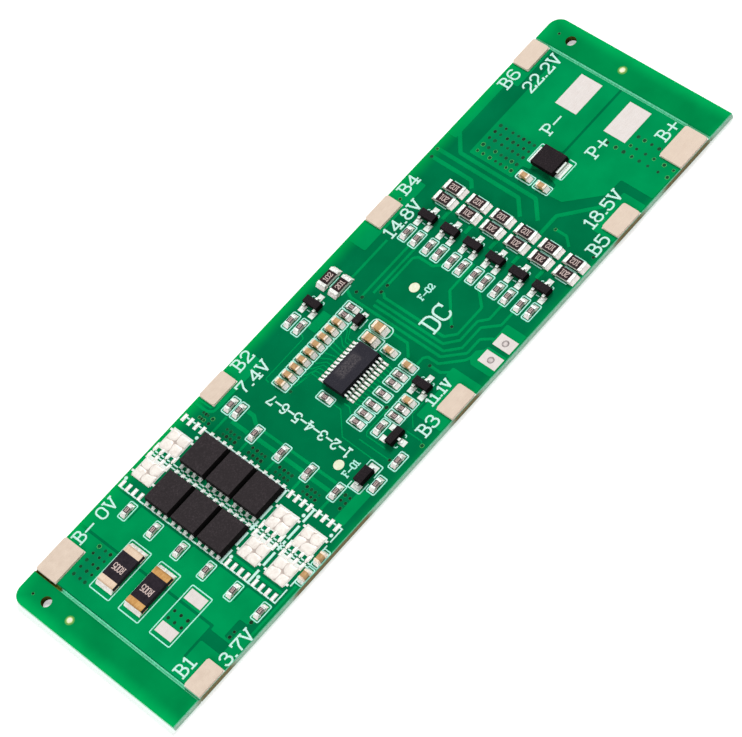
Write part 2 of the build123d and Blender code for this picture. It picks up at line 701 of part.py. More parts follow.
write("load_resistor_ceramics", at_each(load_sites, [ceramic_in_channels(LOAD_RESISTOR)], part_seat))
write("load_resistor_glazes", at_each(load_sites, [overcoat(LOAD_RESISTOR)], part_seat))
write("load_resistor_ends", at_each(load_sites, end_channels(LOAD_RESISTOR), part_seat))
write("load_resistor_joints", at_each(load_sites, solder_joints(LOAD_RESISTOR), pad_seat))

for name, chip, sites in (
    ("small", SMALL_CAPACITOR, capacitor_sites),
    ("medium", MEDIUM_CAPACITOR, medium_sites),
):
    write(f"{name}_capacitor_ceramics", at_each(sites, [ceramic_between_bands(chip, PLATING / 2)], part_seat))
    write(f"{name}_capacitor_ends", at_each(sites, end_bands(chip), part_seat))
    write(f"{name}_capacitor_joints", at_each(sites, solder_joints(chip), pad_seat))

controller_body = moulded_body(
    CONTROLLER_LENGTH, CONTROLLER_WIDTH, CONTROLLER_HEIGHT, belt_height(CONTROLLER_HEIGHT)
)
write("controller_body", at_each(controller_site, [controller_body], part_seat))
write("controller_leads", at_each(controller_site, controller_leads(), part_seat))
write("controller_lands", at_each(controller_site, controller_lands(), pad_seat))

write("balance_transistors", at_each(balance_transistors, [transistor_body()], part_seat))
write("control_transistors", at_each(control_transistors, [transistor_body()], part_seat))
all_transistors = balance_transistors + control_transistors
write("transistor_leads", at_each(all_transistors, transistor_leads(), part_seat))
write("transistor_lands", at_each(all_transistors, transistor_lands(), pad_seat))

diode_sites = (
    ("signal_diode", SIGNAL_DIODE, signal_site),
    ("zener_diode", ZENER_DIODE, zener_site),
    ("clamp_diode", CLAMP_DIODE, clamp_site),
)
all_diode_leads, all_diode_lands = [], []
for name, diode, site in diode_sites:
    write(name, at_each(site, [diode_body(diode)], part_seat))
    all_diode_leads += at_each(site, diode_leads(diode), part_seat)
    all_diode_lands += at_each(site, diode_lands(diode), pad_seat)
write("diode_leads", all_diode_leads)
write("diode_lands", all_diode_lands)
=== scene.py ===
import math
import bmesh
import bpy
from mathutils import Matrix, Vector, noise


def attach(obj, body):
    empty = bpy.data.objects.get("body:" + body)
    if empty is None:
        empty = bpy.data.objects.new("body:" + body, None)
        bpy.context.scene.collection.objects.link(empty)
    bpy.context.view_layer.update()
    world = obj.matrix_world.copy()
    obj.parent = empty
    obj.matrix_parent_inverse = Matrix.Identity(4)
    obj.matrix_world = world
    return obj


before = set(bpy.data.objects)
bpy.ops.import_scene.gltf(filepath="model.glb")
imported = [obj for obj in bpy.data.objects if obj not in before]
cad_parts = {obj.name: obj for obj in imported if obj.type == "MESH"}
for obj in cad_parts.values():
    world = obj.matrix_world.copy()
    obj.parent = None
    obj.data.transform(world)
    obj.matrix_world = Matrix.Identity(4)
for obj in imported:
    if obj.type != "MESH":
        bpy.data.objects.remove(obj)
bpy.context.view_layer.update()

# Camera, light and floor. A long lens looks down over the lower long edge from the shunt end. The
# light is a soft panel off the output end and the upper edge, so walls that face the shunt end or
# the lower edge are in shade.
CAMERA_PLACE = (-0.099663, -0.232032, 0.346895)
CAMERA_AXES = ((0.656253, -0.706789, -0.264161), (0.713557, 0.467521, 0.521786),
               (-0.245292, -0.530918, 0.811146))
FLOOR_REACH, FLOOR_LEVEL = 3, -0.00003
MIRRORED_SKY, MIRRORED_FLOOR = 0.29, 0.42
WHITE = (1.0, 1.0, 1.0, 1.0)
scene = bpy.context.scene
scene.view_settings.view_transform = "Standard"
lens = bpy.data.cameras.new("camera")
lens.sensor_width = 36.0
lens.lens = 148.49
lens.shift_x, lens.shift_y = -0.07597, -0.03075
lens.clip_start = 0.01
camera = bpy.data.objects.new("camera", lens)
scene.collection.objects.link(camera)
scene.camera = camera
camera.matrix_world = Matrix.Translation(CAMERA_PLACE) @ Matrix(CAMERA_AXES).transposed().to_4x4()


def tint(red, green, blue):
    """A colour as it looks on a screen, 0 to 255, as Blender's linear colour."""
    return (*(v / 255 / 12.92 if v < 11 else ((v / 255 + 0.055) / 1.055) ** 2.4
              for v in (red, green, blue)), 1.0)


def put(tree, kind, sockets=None, **settings):
    """A node with its settings. Each socket is set to a value, or joined to a socket or a node."""
    node = tree.nodes.new(kind)
    for key, value in settings.items():
        setattr(node, key, value)
    for socket, value in (sockets or {}).items():
        if isinstance(value, bpy.types.Node):
            value = value.outputs[0]
        if isinstance(value, bpy.types.NodeSocket):
            tree.links.new(value, node.inputs[socket])
        else:
            node.inputs[socket].default_value = value
    return node


def calc(tree, operation, first, second=0.0):
    """One sum of numbers or sockets, as a socket."""
    return put(tree, "ShaderNodeMath", {0: first, 1: second}, operation=operation).outputs[0]


def remap(tree, value, low, high, to_low=0.0, to_high=1.0, smooth=False):
    """A number carried from one range to another and kept inside it, as a socket."""
    ends = {"Value": value, "From Min": low, "From Max": high, "To Min": to_low, "To Max": to_high}
    kind = "SMOOTHSTEP" if smooth else "LINEAR"
    return put(tree, "ShaderNodeMapRange", ends, interpolation_type=kind).outputs[0]


def ray_kinds(tree):
    """Sockets that are 1 for rays from the camera, and for rays off or through a glossy thing."""
    rays = put(tree, "ShaderNodeLightPath").outputs
    mirrored = calc(tree, "MAXIMUM", rays["Is Glossy Ray"], rays["Is Transmission Ray"])
    return rays["Is Camera Ray"], mirrored


def lamp(name, place, size, power):
    """A square soft panel that faces the board."""
    panel = bpy.data.objects.new(name, bpy.data.lights.new(name, "AREA"))
    scene.collection.objects.link(panel)
    panel.data.size = size
    panel.data.energy = power
    panel.location = place
    panel.rotation_euler = (-Vector(place)).to_track_quat("-Z", "Y").to_euler()


lamp("key panel", (0.98, 0.49, 1.18), 0.62, 18.7)
lamp("fill panel", (-0.55, -0.22, 0.27), 0.40, 2.0)

world = bpy.data.worlds.new("studio")
scene.world = world
world.use_nodes = True
air = world.node_tree
air.nodes.clear()
from_camera, mirrored = ray_kinds(air)
glow = put(air, "ShaderNodeMix", {0: from_camera, 2: remap(air, mirrored, 0, 1, MIRRORED_SKY),
                                3: 1.0})
sky = put(air, "ShaderNodeBackground", {"Color": WHITE, "Strength": glow})
put(air, "ShaderNodeOutputWorld", {"Surface": sky})

corners = ((-1, -1), (1, -1), (1, 1), (-1, 1))
floor_mesh = bpy.data.meshes.new("floor")
floor_mesh.from_pydata([(x * FLOOR_REACH, y * FLOOR_REACH, FLOOR_LEVEL) for x, y in corners], [],
                       [(0, 1, 2, 3)])
floor = bpy.data.objects.new("floor", floor_mesh)
scene.collection.objects.link(floor)
paper = bpy.data.materials.new("white paper")
paper.use_nodes = True
sheet = paper.node_tree
sheet.nodes.clear()
lift = remap(sheet, calc(sheet, "MAXIMUM", *ray_kinds(sheet)), 0, 1, 0.0, MIRRORED_FLOOR)
matt = put(sheet, "ShaderNodeBsdfPrincipled", {
    "Base Color": tint(243, 243, 243), "Roughness": 0.9, "Specular IOR Level": 0.0,
    "Emission Color": WHITE, "Emission Strength": lift})
put(sheet, "ShaderNodeOutputMaterial", {"Surface": matt})
floor_mesh.materials.append(paper)

# The laminate. A glass and resin sheet one millimetre thick under green solder mask. Its routed and
# snapped sides and the V-grooves show the pale bare core, browned by the iron beside the weld tabs.
UPPER_EDGE = 16.98
BY_LOWER_WALL = -16.8
GROOVE_X = 53.395
BOARD_TOP = 1.0
MASK_TOP = 1.026
TOOLING_HOLE = (55.945, 11.98)
RAIL_TARGETS = ((-55.945, 6.98), (55.945, 1.78))
BROWNED_SPANS = ((-53.6, -46.6), (-34.6, -19.0), (-2.2, 3.6), (32.4, 38.8), (43.2, 53.6))


def effect_group(name, inputs, outputs):
    """A shader effect that several finishes share, with its ends."""
    tree = bpy.data.node_groups.new(name, "ShaderNodeTree")
    for way, sockets in (("INPUT", inputs), ("OUTPUT", outputs)):
        for word, kind in sockets.items():
            tree.interface.new_socket(word, in_out=way, socket_type="NodeSocket" + kind)
    return tree, tree.nodes.new("NodeGroupInput").outputs, tree.nodes.new("NodeGroupOutput").inputs


def window(tree, value, low, high, soft):
    """A mask that is 1 while a value lies between two limits, with soft shoulders."""
    up = remap(tree, value, low - soft, low + soft, smooth=True)
    down = remap(tree, value, high + soft, high - soft, smooth=True)
    return calc(tree, "MULTIPLY", up, down)


def gather(tree, operation, values):
    """Several numbers brought to one, such as their largest."""
    whole = values[0]
    for value in values[1:]:
        whole = calc(tree, operation, whole, value)
    return whole


def noise_node(tree, place, scale, detail, **more):
    sockets = {word.capitalize(): value for word, value in more.items()}
    return put(tree, "ShaderNodeTexNoise",
               {"Vector": place, "Scale": scale, "Detail": detail, **sockets})


def axes(tree, vector):
    """The three numbers of a vector, as sockets."""
    return put(tree, "ShaderNodeSeparateXYZ", {0: vector}).outputs


def blend_tones(tree, share, first, second):
    return put(tree, "ShaderNodeMix", {0: share, 6: first, 7: second}, data_type="RGBA").outputs[2]


# A cloudy tone: two colours mixed by soft noise, with its own fine relief
cloudy, ask, give = effect_group(
    "cloudy tone",
    {"Place": "Vector", "Light": "Color", "Dark": "Color", "Scale": "Float", "Grit": "Float"},
    {"Tone": "Color", "Relief": "Float"})
clouds = noise_node(cloudy, ask["Place"], ask["Scale"], 5.0, roughness=ask["Grit"]).outputs[0]
mixed = remap(cloudy, clouds, 0.32, 0.68)
cloudy.links.new(blend_tones(cloudy, mixed, ask["Dark"], ask["Light"]), give["Tone"])
cloudy.links.new(clouds, give["Relief"])

# Green mask, with a painted highlight that makes the green brighter along the routed edges
masked, ask, give = effect_group(
    "green mask", {"Place": "Vector", "Green": "Color", "Edge highlight green": "Color"},
    {"Tone": "Color", "Relief": "Float"})
at_x, at_y = axes(masked, ask["Place"])[:2]
edge_highlight = gather(masked, "MAXIMUM", (
    remap(masked, at_y, UPPER_EDGE - 2.6, UPPER_EDGE + 1.0, smooth=True),
    remap(masked, calc(masked, "ABSOLUTE", at_x), 56.2, 58.9, smooth=True),
    remap(masked, at_y, 1.4 - UPPER_EDGE, -0.8 - UPPER_EDGE, 0.0, 0.4, smooth=True)))
drift = remap(masked, noise_node(masked, ask["Place"], 0.22, 3.0), 0.3, 0.7, 0.9, 1.08)
ripple = noise_node(masked, ask["Place"], 1.7, 6.0, roughness=0.6)
green = blend_tones(masked, edge_highlight, ask["Green"], ask["Edge highlight green"])
toned = put(masked, "ShaderNodeVectorMath", {0: green, "Scale": drift}, operation="SCALE")
masked.links.new(toned.outputs[0], give["Tone"])
masked.links.new(ripple.outputs[0], give["Relief"])


def new_finish(name, shine, rough=None, metal=None):
    """A finish with an empty Principled skin, its place in millimetres, and what is the same all
    over it. Shine is its specular level."""
    finish = bpy.data.materials.new(name)
    finish.use_nodes = True
    tree = finish.node_tree
    tree.nodes.clear()
    skin = put(tree, "ShaderNodeBsdfPrincipled")
    for word, value in (("Specular IOR Level", shine), ("Roughness", rough), ("Metallic", metal)):
        if value is not None:
            skin.inputs[word].default_value = value
    put(tree, "ShaderNodeOutputMaterial", {"Surface": skin})
    where = put(tree, "ShaderNodeTexCoord").outputs["Object"]
    place = put(tree, "ShaderNodeVectorMath", {0: where, "Scale": 1000.0}, operation="SCALE")
    return finish, tree, skin, place.outputs[0]


def tones(tree, group, place, light, dark, scale, **more):
    """The ends of an effect that runs between a light and a dark screen colour."""
    sockets = {"Place": place, "Light": tint(*light), "Dark": tint(*dark), "Scale": scale, **more}
    return put(tree, "ShaderNodeGroup", sockets, node_tree=group).outputs


def cloud(tree, place, light, dark, scale, grit=0.6):
    return tones(tree, cloudy, place, light, dark, scale, Grit=grit)["Tone"]


# the mask's green, and the lighter green of its painted edge highlight
def greens(tree, place, green, highlight_green):
    sockets = {"Place": place, "Green": tint(*green), "Edge highlight green": tint(*highlight_green)}
    return put(tree, "ShaderNodeGroup", sockets, node_tree=masked).outputs


def distance(tree, across, along, point):
    """How far a place lies from a point of the board, seen from above."""
    seen = put(tree, "ShaderNodeCombineXYZ", {0: across, 1: along})
    measure = put(tree, "ShaderNodeVectorMath", {0: seen, 1: (*point, 0.0)}, operation="DISTANCE")
    return measure.outputs["Value"]


def colour_skin(tree, skin, colour, ends, depth, rough=None):
    """Joins a changing colour to a finish's skin, with an effect's relief, its depth in
    millimetres, and the effect's roughness where it has one."""
    tree.links.new(colour, skin.inputs["Base Color"])
    bump = put(tree, "ShaderNodeBump",
               {"Strength": 1.0, "Distance": depth / 1000, "Height": ends["Relief"]})
    tree.links.new(bump.outputs[0], skin.inputs["Normal"])
    if rough is None:
        rough = ends.get("Roughness")
    if rough is not None:
        tree.links.new(rough, skin.inputs["Roughness"])


def coat(finish, *nodes):
    """Gives CAD nodes their finish."""
    for word in nodes:
        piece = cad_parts[word]
        if not piece.material_slots:
            piece.data.materials.append(finish)
        for slot in piece.material_slots:
            slot.material = finish


laminate, tree, skin, place = new_finish("masked laminate", shine=0.0, rough=0.5)
at_x, at_y = axes(tree, place)[:2]
out_x = calc(tree, "ABSOLUTE", at_x)
facing = axes(tree, put(tree, "ShaderNodeNewGeometry").outputs["Normal"])
flat = calc(tree, "ABSOLUTE", facing["Z"])
is_mask, is_groove = (calc(tree, "GREATER_THAN", flat, limit) for limit in (0.95, 0.3))
shaded_wall = calc(tree, "LESS_THAN", facing["X"], -0.1)

# the sawn core, brown where the iron has been, with painted light on its shaded walls and painted
# shade in the tooling holes
stretched = put(tree, "ShaderNodeMapping", {"Vector": place, "Scale": (1.4, 1.4, 9.0)}).outputs[0]
core = cloud(tree, stretched, (204, 232, 212), (134, 188, 160), 1.0, 0.7)
# painted light: walls that face the shunt end are in shade, so they get a paler copy of the core
core_lifted_in_shade = cloud(tree, stretched, (200, 246, 224), (154, 226, 190), 1.0, 0.7)
scorched = cloud(tree, stretched, (156, 142, 106), (112, 104, 72), 1.3, 0.7)
# painted shade: the tooling holes are dark olive, their brown drilled wall with the shade of the
# hole painted on
drilled = cloud(tree, stretched, (96, 104, 40), (44, 54, 16), 1.3)
spans = [window(tree, at_x, low, high, 1.1) for low, high in BROWNED_SPANS]
browned = calc(tree, "MULTIPLY", gather(tree, "MAXIMUM", spans),
               calc(tree, "LESS_THAN", at_y, BY_LOWER_WALL))
in_hole = calc(tree, "LESS_THAN", distance(tree, out_x, at_y, TOOLING_HOLE), 1.0)
side = blend_tones(tree, shaded_wall, core, core_lifted_in_shade)
side = blend_tones(tree, browned, side, scorched)
side = blend_tones(tree, in_hole, side, drilled)

# the V-grooves, with painted light that makes their walls in shade paler; dark beside the large tab
# of the shunt end
score = cloud(tree, place, (118, 208, 172), (92, 190, 148), 2.6, 0.35)
# painted light: a paler groove colour for the walls that face the shunt end, which are in shade
score_lifted_in_shade = cloud(tree, place, (150, 248, 212), (120, 232, 188), 2.6, 0.35)
score_dark = cloud(tree, place, (110, 120, 40), (40, 60, 20), 1.2)
by_tab = calc(tree, "MULTIPLY", window(tree, at_y, 11.4, 17.5, 0.3),
              calc(tree, "LESS_THAN", at_x, 0.0))
groove = blend_tones(tree, by_tab, blend_tones(tree, shaded_wall, score, score_lifted_in_shade), score_dark)
bare = blend_tones(tree, is_groove, side, groove)

# the rail targets stand in bare rings, where the yellow of the resin shows
ground = greens(tree, place, (0, 118, 72), (0, 182, 84))
rail = greens(tree, place, (0, 143, 76), (0, 178, 92))
on_rail = remap(tree, out_x, GROOVE_X - 0.2, GROOVE_X + 0.6)
green = blend_tones(tree, on_rail, ground["Tone"], rail["Tone"])
resin = cloud(tree, place, (150, 196, 96), (96, 168, 84), 3.0, 0.5)
for target in RAIL_TARGETS:
    inside = remap(tree, distance(tree, at_x, at_y, target), 0.78, 0.56)
    green = blend_tones(tree, inside, green, resin)
colour_skin(tree, skin, blend_tones(tree, is_mask, bare, green), ground, 0.004,
            remap(tree, is_mask, 0, 1, 0.85, 0.42))
coat(laminate, "circuit_board")

# Copper under the mask. Pours and traces etched from the foil bonded to the laminate. They stand a
# few hundredths proud through the green skin and read a little lighter than what is between them.
SHOULDER = 0.05
FOOT = BOARD_TOP - 0.002
FINE_WIDTH, TRACE_WIDTH, BROAD_WIDTH = 0.15, 0.42, 0.62
DRILLED_FIELDS = ((-50.9, -45.2, 9.2, 12.0), (34.4, 39.2, 4.0, 10.8))

# the mask lies thinner and darker over the drilled fields
masked_copper, tree, skin, place = new_finish("masked copper", shine=0.0, rough=0.45)
copper_green = greens(tree, place, (0, 152, 86), (0, 172, 84))
drilled_green = greens(tree, place, (4, 136, 84), (4, 140, 84))
at_x, at_y = axes(tree, place)[:2]
over_field = gather(tree, "MAXIMUM", [
    calc(tree, "MULTIPLY", window(tree, at_x, x0, x1, 0.7), window(tree, at_y, y0, y1, 0.7))
    for x0, x1, y0, y1 in DRILLED_FIELDS])
copper_tone = blend_tones(tree, over_field, copper_green["Tone"], drilled_green["Tone"])
colour_skin(tree, skin, copper_tone, copper_green, 0.005)


def shape_tree(name, inputs):
    """A Geometry Nodes tree with named inputs, and its ends."""
    tree = bpy.data.node_groups.new(name, "GeometryNodeTree")
    for word, kind in {"Lines": "Geometry", **inputs, "Finish": "Material"}.items():
        tree.interface.new_socket(word, in_out="INPUT", socket_type="NodeSocket" + kind)
    tree.interface.new_socket("Piece", in_out="OUTPUT", socket_type="NodeSocketGeometry")
    return tree, tree.nodes.new("NodeGroupInput").outputs, tree.nodes.new("NodeGroupOutput").inputs


def end_tree(tree, shape, ask, give):
    """Ends a tree with a real mesh in its finish."""
    whole = put(tree, "GeometryNodeRealizeInstances", {0: shape})
    worn = put(tree, "GeometryNodeSetMaterial", {"Geometry": whole, "Material": ask["Finish"]})
    tree.links.new(worn.outputs[0], give[0])


def bent_path(tree, ask, count):
    """The lines of a piece as curves, their corners rounded."""
    path = put(tree, "GeometryNodeMeshToCurve", {"Mesh": ask["Lines"]})
    return put(tree, "GeometryNodeFilletCurve", {
        "Curve": path, "Count": count, "Radius": ask["Bend"], "Limit Radius": True}, mode="POLY")


# A ribbon along a path: flat on top, with sloping sides, its corners rounded
ribbon, ask, give = shape_tree("ribbon along a path", {
    "Width": "Float", "Foot": "Float", "Height": "Float", "Bend": "Float", "Steps": "Int"})
level = put(ribbon, "GeometryNodeSetCurveNormal", {"Curve": bent_path(ribbon, ask, ask["Steps"])},
            mode="Z_UP")
section = put(ribbon, "GeometryNodeCurvePrimitiveQuadrilateral", {
    "Bottom Width": ask["Width"], "Top Width": ask["Foot"], "Height": ask["Height"],
    "Offset": 0.0}, mode="TRAPEZOID")
swept = put(ribbon, "GeometryNodeCurveToMesh", {
    "Curve": level, "Profile Curve": section, "Fill Caps": True})
end_tree(ribbon, swept, ask, give)

# A sheet inside a closed line, with rounded corners
pour, ask, give = shape_tree("sheet inside a line", {"Height": "Float", "Bend": "Float"})
filled = put(pour, "GeometryNodeFillCurve", {"Curve": bent_path(pour, ask, 4)}, mode="NGONS")
raised = put(pour, "GeometryNodeExtrudeMesh", {
    "Mesh": filled, "Offset Scale": ask["Height"], "Individual": False}, mode="FACES")
under = put(pour, "GeometryNodeFlipFaces", {"Mesh": filled})
shell = put(pour, "GeometryNodeJoinGeometry", {0: raised})
pour.links.new(under.outputs[0], shell.inputs[0])
sewn = put(pour, "GeometryNodeMergeByDistance", {"Geometry": shell, "Distance": 1e-7})
end_tree(pour, sewn, ask, give)


def grow(name, tree, points, lines=(), slot="laminate", lift=0.0, **values):
    """The piece that a tree makes from points and lines in millimetres, as a mesh on the board."""
    seed = bpy.data.meshes.new(name)
    seed.from_pydata([(x / 1000, y / 1000, z / 1000) for x, y, z in points], lines, [])
    piece = bpy.data.objects.new(name, seed)
    scene.collection.objects.link(piece)
    shaping = piece.modifiers.new("shape", "NODES")
    shaping.node_group = tree
    for item in tree.interface.items_tree:
        if item.in_out == "INPUT" and item.name in values:
            shaping[item.identifier] = values[item.name]
    shaped = piece.evaluated_get(bpy.context.evaluated_depsgraph_get())
    made = bpy.data.meshes.new_from_object(shaped)
    piece.modifiers.remove(shaping)
    made.transform(Matrix.Translation((0, 0, lift / 1000)))
    piece.data = made
    if not made.materials:
        made.materials.append(values["Finish"])
    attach(piece, "root")


def stroked(name, paths, finish, width, top, bend=0.0, steps=5, slope=SHOULDER, stagger=0.0,
            foot=FOOT, slot="laminate"):
    """A piece made of ribbons. Each path is a list of points, closed if its last point is its
    first. With a stagger, ribbons that cross don't lie in one plane."""
    points, lines = [], []
    for n, path in enumerate(paths):
        closed = path[0] == path[-1]
        along = path[:-1] if closed else path
        start = len(points)
        points += [(x, y, (foot + top) / 2 - stagger * (3 * n % 11)) for x, y in along]
        lines += [(start + i, start + i + 1) for i in range(len(along) - 1)]
        if closed:
            lines.append((len(points) - 1, start))
    grow(name, ribbon, points, lines, slot, Width=width / 1000, Foot=(width + 2 * slope) / 1000,
         Height=(top - foot) / 1000, Bend=bend / 1000, Steps=steps, Finish=finish)


land_notches = []
for y in (11.3, 6.1, 0.5, -4.9, -10.5):
    land_notches += [(-37.45, y + 0.12), (-40.1, y + 0.12), (-40.1, y - 0.12), (-37.45, y - 0.12)]
pours = [
    [(-53.0, 16.75), (-44.75, 16.75), (-44.75, -10.5), (-50.2, -10.5), (-50.2, -10.9),
     (-47.0, -10.9), (-47.0, -14.8), (-45.1, -14.8), (-45.1, -10.9), (-44.35, -10.9),
     (-44.35, 16.75), (-37.45, 16.75), *land_notches, (-37.45, -15.6), (-40.6, -15.6),
     (-41.6, -14.6), (-41.6, -13.2), (-44.7, -13.2), (-44.7, -14.4), (-42.6, -14.4),
     (-42.6, -16.75), (-53.0, -16.75)],
    [(33.6, 15.1), (44.9, 15.1), (44.9, 16.75), (33.6, 16.75)],
    [(45.4, 13.3), (53.15, 13.3), (53.15, 16.75), (45.4, 16.75)],
    [(32.8, 11.7), (32.8, 3.2), (35.2, 3.2), (35.3, 2.2), (36.0, 0.9), (39.9, 0.9), (40.2, -0.25),
     (53.15, -0.25), (53.15, 11.7)],
    [(53.15, -0.65), (40.0, -0.65), (39.8, -1.4), (35.9, -1.4), (35.3, -3.3), (33.4, -3.4),
     (33.6, -5.9), (38.0, -10.7), (41.1, -10.8), (41.1, -16.75), (53.15, -16.75)],
    [(32.4, -12.5), (32.4, -16.75), (39.7, -16.75), (39.7, -12.5)],
    [(-18.5, 12.9), (-10.4, 12.9), (-10.4, 16.75), (-20.4, 16.75), (-20.4, 14.0)],
    [(-4.3, -12.0), (2.7, -12.0), (2.7, -11.2), (4.4, -11.2), (4.4, -16.75), (-4.3, -16.75)],
    [(6.1, -13.0), (6.9, -12.1), (8.2, -12.1), (9.0, -13.0), (9.7, -13.2), (9.7, -16.75),
     (6.1, -16.75)],
    [(10.5, -13.0), (13.9, -13.0), (13.9, -16.75), (10.5, -16.75)],
    [(11.6, 13.2), (25.0, 13.2), (25.0, 16.75), (11.6, 16.75)],
    [(-23.0, -13.5), (-17.2, -13.5), (-17.2, -15.4), (-23.0, -15.4)],
    [(-2.7, 9.7), (0.8, 9.7), (0.8, 11.4), (-2.7, 11.4)],
]
points, lines = [], []
for outline in pours:
    start = len(points)
    points += [(x, y, 0.0) for x, y in outline]
    lines += [(start + i, start + (i + 1) % len(outline)) for i in range(len(outline))]
grow("masked_pours", pour, points, lines, lift=FOOT, Height=(MASK_TOP - FOOT) / 1000,
     Bend=0.00025, Finish=masked_copper)

# the controller's leads fan out in fine traces: its first lead, its lead pitch and where each ends
FIRST_LEAD, LEAD_PITCH = -7.8, 0.65
FAN_ENDS = (-10.7, -9.9, -8.6, -7.3, -6.2, -5.2, -4.2, -3.1, -2.35, -1.0, 0.3, 1.1)
fine_traces = []
for n, end in enumerate(FAN_ENDS):
    lead = FIRST_LEAD + LEAD_PITCH * n
    turn = min(5.9, 4.1 + 0.12 * abs(n - 7) + 0.45)
    fine_traces.append([(end, 6.3), (end, 6.0), (lead, turn), (lead, 3.8)])
for n in range(len(FAN_ENDS)):
    lead = FIRST_LEAD + LEAD_PITCH * n
    fine_traces.append([(lead, -2.3), (lead, -3.5), (-7.6 + 0.62 * n, -4.2)])
fine_traces += [
    [(-12.45, 9.8), (-12.3, 10.6), (-4.3, 10.6), (-3.9, 11.4)],
    [(-9.7, -0.9), (-9.7, -2.2), (-12.8, -5.5), (-12.95, -12.5)],
    [(-8.7, -2.0), (-8.7, -3.0), (-9.5, -4.0)], [(-11.7, -7.8), (-11.7, -13.6)],
    [(-10.7, -12.0), (-10.7, -8.3), (-10.2, -7.9), (-5.9, -7.9)],
    [(-6.9, -12.5), (-6.9, -15.5), (-7.4, -16.06)], [(-6.0, -13.0), (-4.5, -11.5), (-2.2, -11.5)],
]
stroked("fine_masked_traces", fine_traces, masked_copper, FINE_WIDTH, MASK_TOP - 0.004, 0.3)

stroked("masked_traces", [
    [(5.3, 11.0), (4.62, 9.4), (4.62, -8.5), (7.2, -11.35), (9.9, -11.35), (10.9, -12.75),
     (11.1, -13.4)],
    [(5.55, 5.7), (5.55, -8.2), (7.45, -10.15), (11.4, -10.15), (13.3, -12.4), (16.4, -12.4)],
    [(6.4, 5.9), (6.4, -7.3), (8.2, -9.05), (11.9, -9.05), (13.1, -10.25), (16.4, -10.25)],
    [(7.9, 5.9), (7.35, 5.2), (7.35, -6.6), (8.75, -8.05), (13.9, -8.05), (15.9, -5.7),
     (16.4, -5.7)],
    [(3.65, 0.5), (3.65, -2.9), (1.9, -4.7)],
    [(1.8, -6.5), (3.1, -6.5), (3.6, -7.0), (3.6, -9.0), (6.3, -12.0), (7.9, -12.6), (8.2, -13.4)],
    [(2.7, -8.2), (2.7, -10.2), (3.6, -11.5)], [(7.0, 11.65), (14.8, 11.65)],
    [(5.7, 8.2), (16.4, 8.2)], [(7.0, 7.1), (16.4, 7.1)],
    [(9.2, 6.25), (14.6, 6.25), (15.2, 5.6), (15.2, 2.8), (16.2, 1.6)],
    [(9.3, -6.3), (13.5, -2.15), (18.8, -2.15)], [(-23.2, 11.0), (-20.0, 11.0)],
    [(-23.2, 5.5), (-21.0, 5.5)], *[[(-23.2, y), (-21.2, y)] for y in (0.0, -5.3, -10.9)],
    *[[(-18.6, y0), (-18.6, y1)] for y0, y1 in ((4.8, 0.9), (-0.6, -4.6), (-6.1, -9.9))],
    [(-35.35, -5.2), (-35.35, -15.3)],
    [(-42.5, -16.3), (-33.4, -16.3)], [(29.6, -8.4), (29.6, -10.4), (28.4, -11.9)],
    [(-21.0, 16.6), (-21.0, 14.2), (-20.5, 13.3), (-18.6, 13.1)],
], masked_copper, TRACE_WIDTH, MASK_TOP - 0.002, 0.4)
stroked("broad_masked_traces", [
    [(29.25, 16.3), (29.25, 8.0), (28.2, 7.0)], [(30.75, 16.3), (30.75, 0.0), (28.4, -2.4)],
    [(35.2, 15.8), (32.0, 12.7), (32.0, -2.3), (29.3, -5.1)],
    [(27.8, -6.85), (31.4, -6.85), (37.4, -12.7)], [(-17.6, 9.0), (-17.6, 7.8), (-18.5, 6.4)],
    *[[(21.9, y), (24.2, y)] for y in (7.1, 2.6, -2.3, -6.8, -11.4)],
    [(-20.1, 9.9), (-20.1, 6.5)], [(-20.0, 4.9), (-20.0, 0.9)], [(-20.0, -0.6), (-20.0, -4.6)],
    [(-20.1, -6.1), (-20.1, -9.9)],
], masked_copper, BROAD_WIDTH, MASK_TOP - 0.001, 0.5)

# Vias. Drilled and plated holes that carry current through the board, each a raised ring round a
# near-black disc of painted shade for its open bore; the mask has plugged some of them, and those
# read as faint green dimples.
BORE_SIDES, BEAD, DISC_HEIGHT = 14, 0.00004, 0.00003
PILOT_HOLES = ((-56.2, 14.55), (56.05, 14.4))
bore, tree, skin, place = new_finish("via bore", shine=0.1, rough=0.6)
plugged = put(tree, "ShaderNodeAttribute", attribute_name="plugged").outputs["Fac"]
# painted shade: the open bore is a near-black disc that stands for the shade down the hole
shade = tones(tree, cloudy, place, (12, 42, 18), (2, 20, 8), 3.0, Grit=0.5)
plug = cloud(tree, place, (0, 92, 52), (0, 72, 40), 3.0, 0.5)
colour_skin(tree, skin, blend_tones(tree, plugged, shade["Tone"], plug), shade, 0.01)

collar, tree, skin, place = new_finish("via collar", shine=0.05, rough=0.45)
bared = put(tree, "ShaderNodeAttribute", attribute_name="bared").outputs["Fac"]
covered = greens(tree, place, (4, 142, 88), (4, 146, 86))["Tone"]
thin_mask = tones(tree, cloudy, place, (120, 220, 126), (64, 184, 94), 3.0, Grit=0.5)
colour_skin(tree, skin, blend_tones(tree, bared, covered, thin_mask["Tone"]), thin_mask, 0.008)

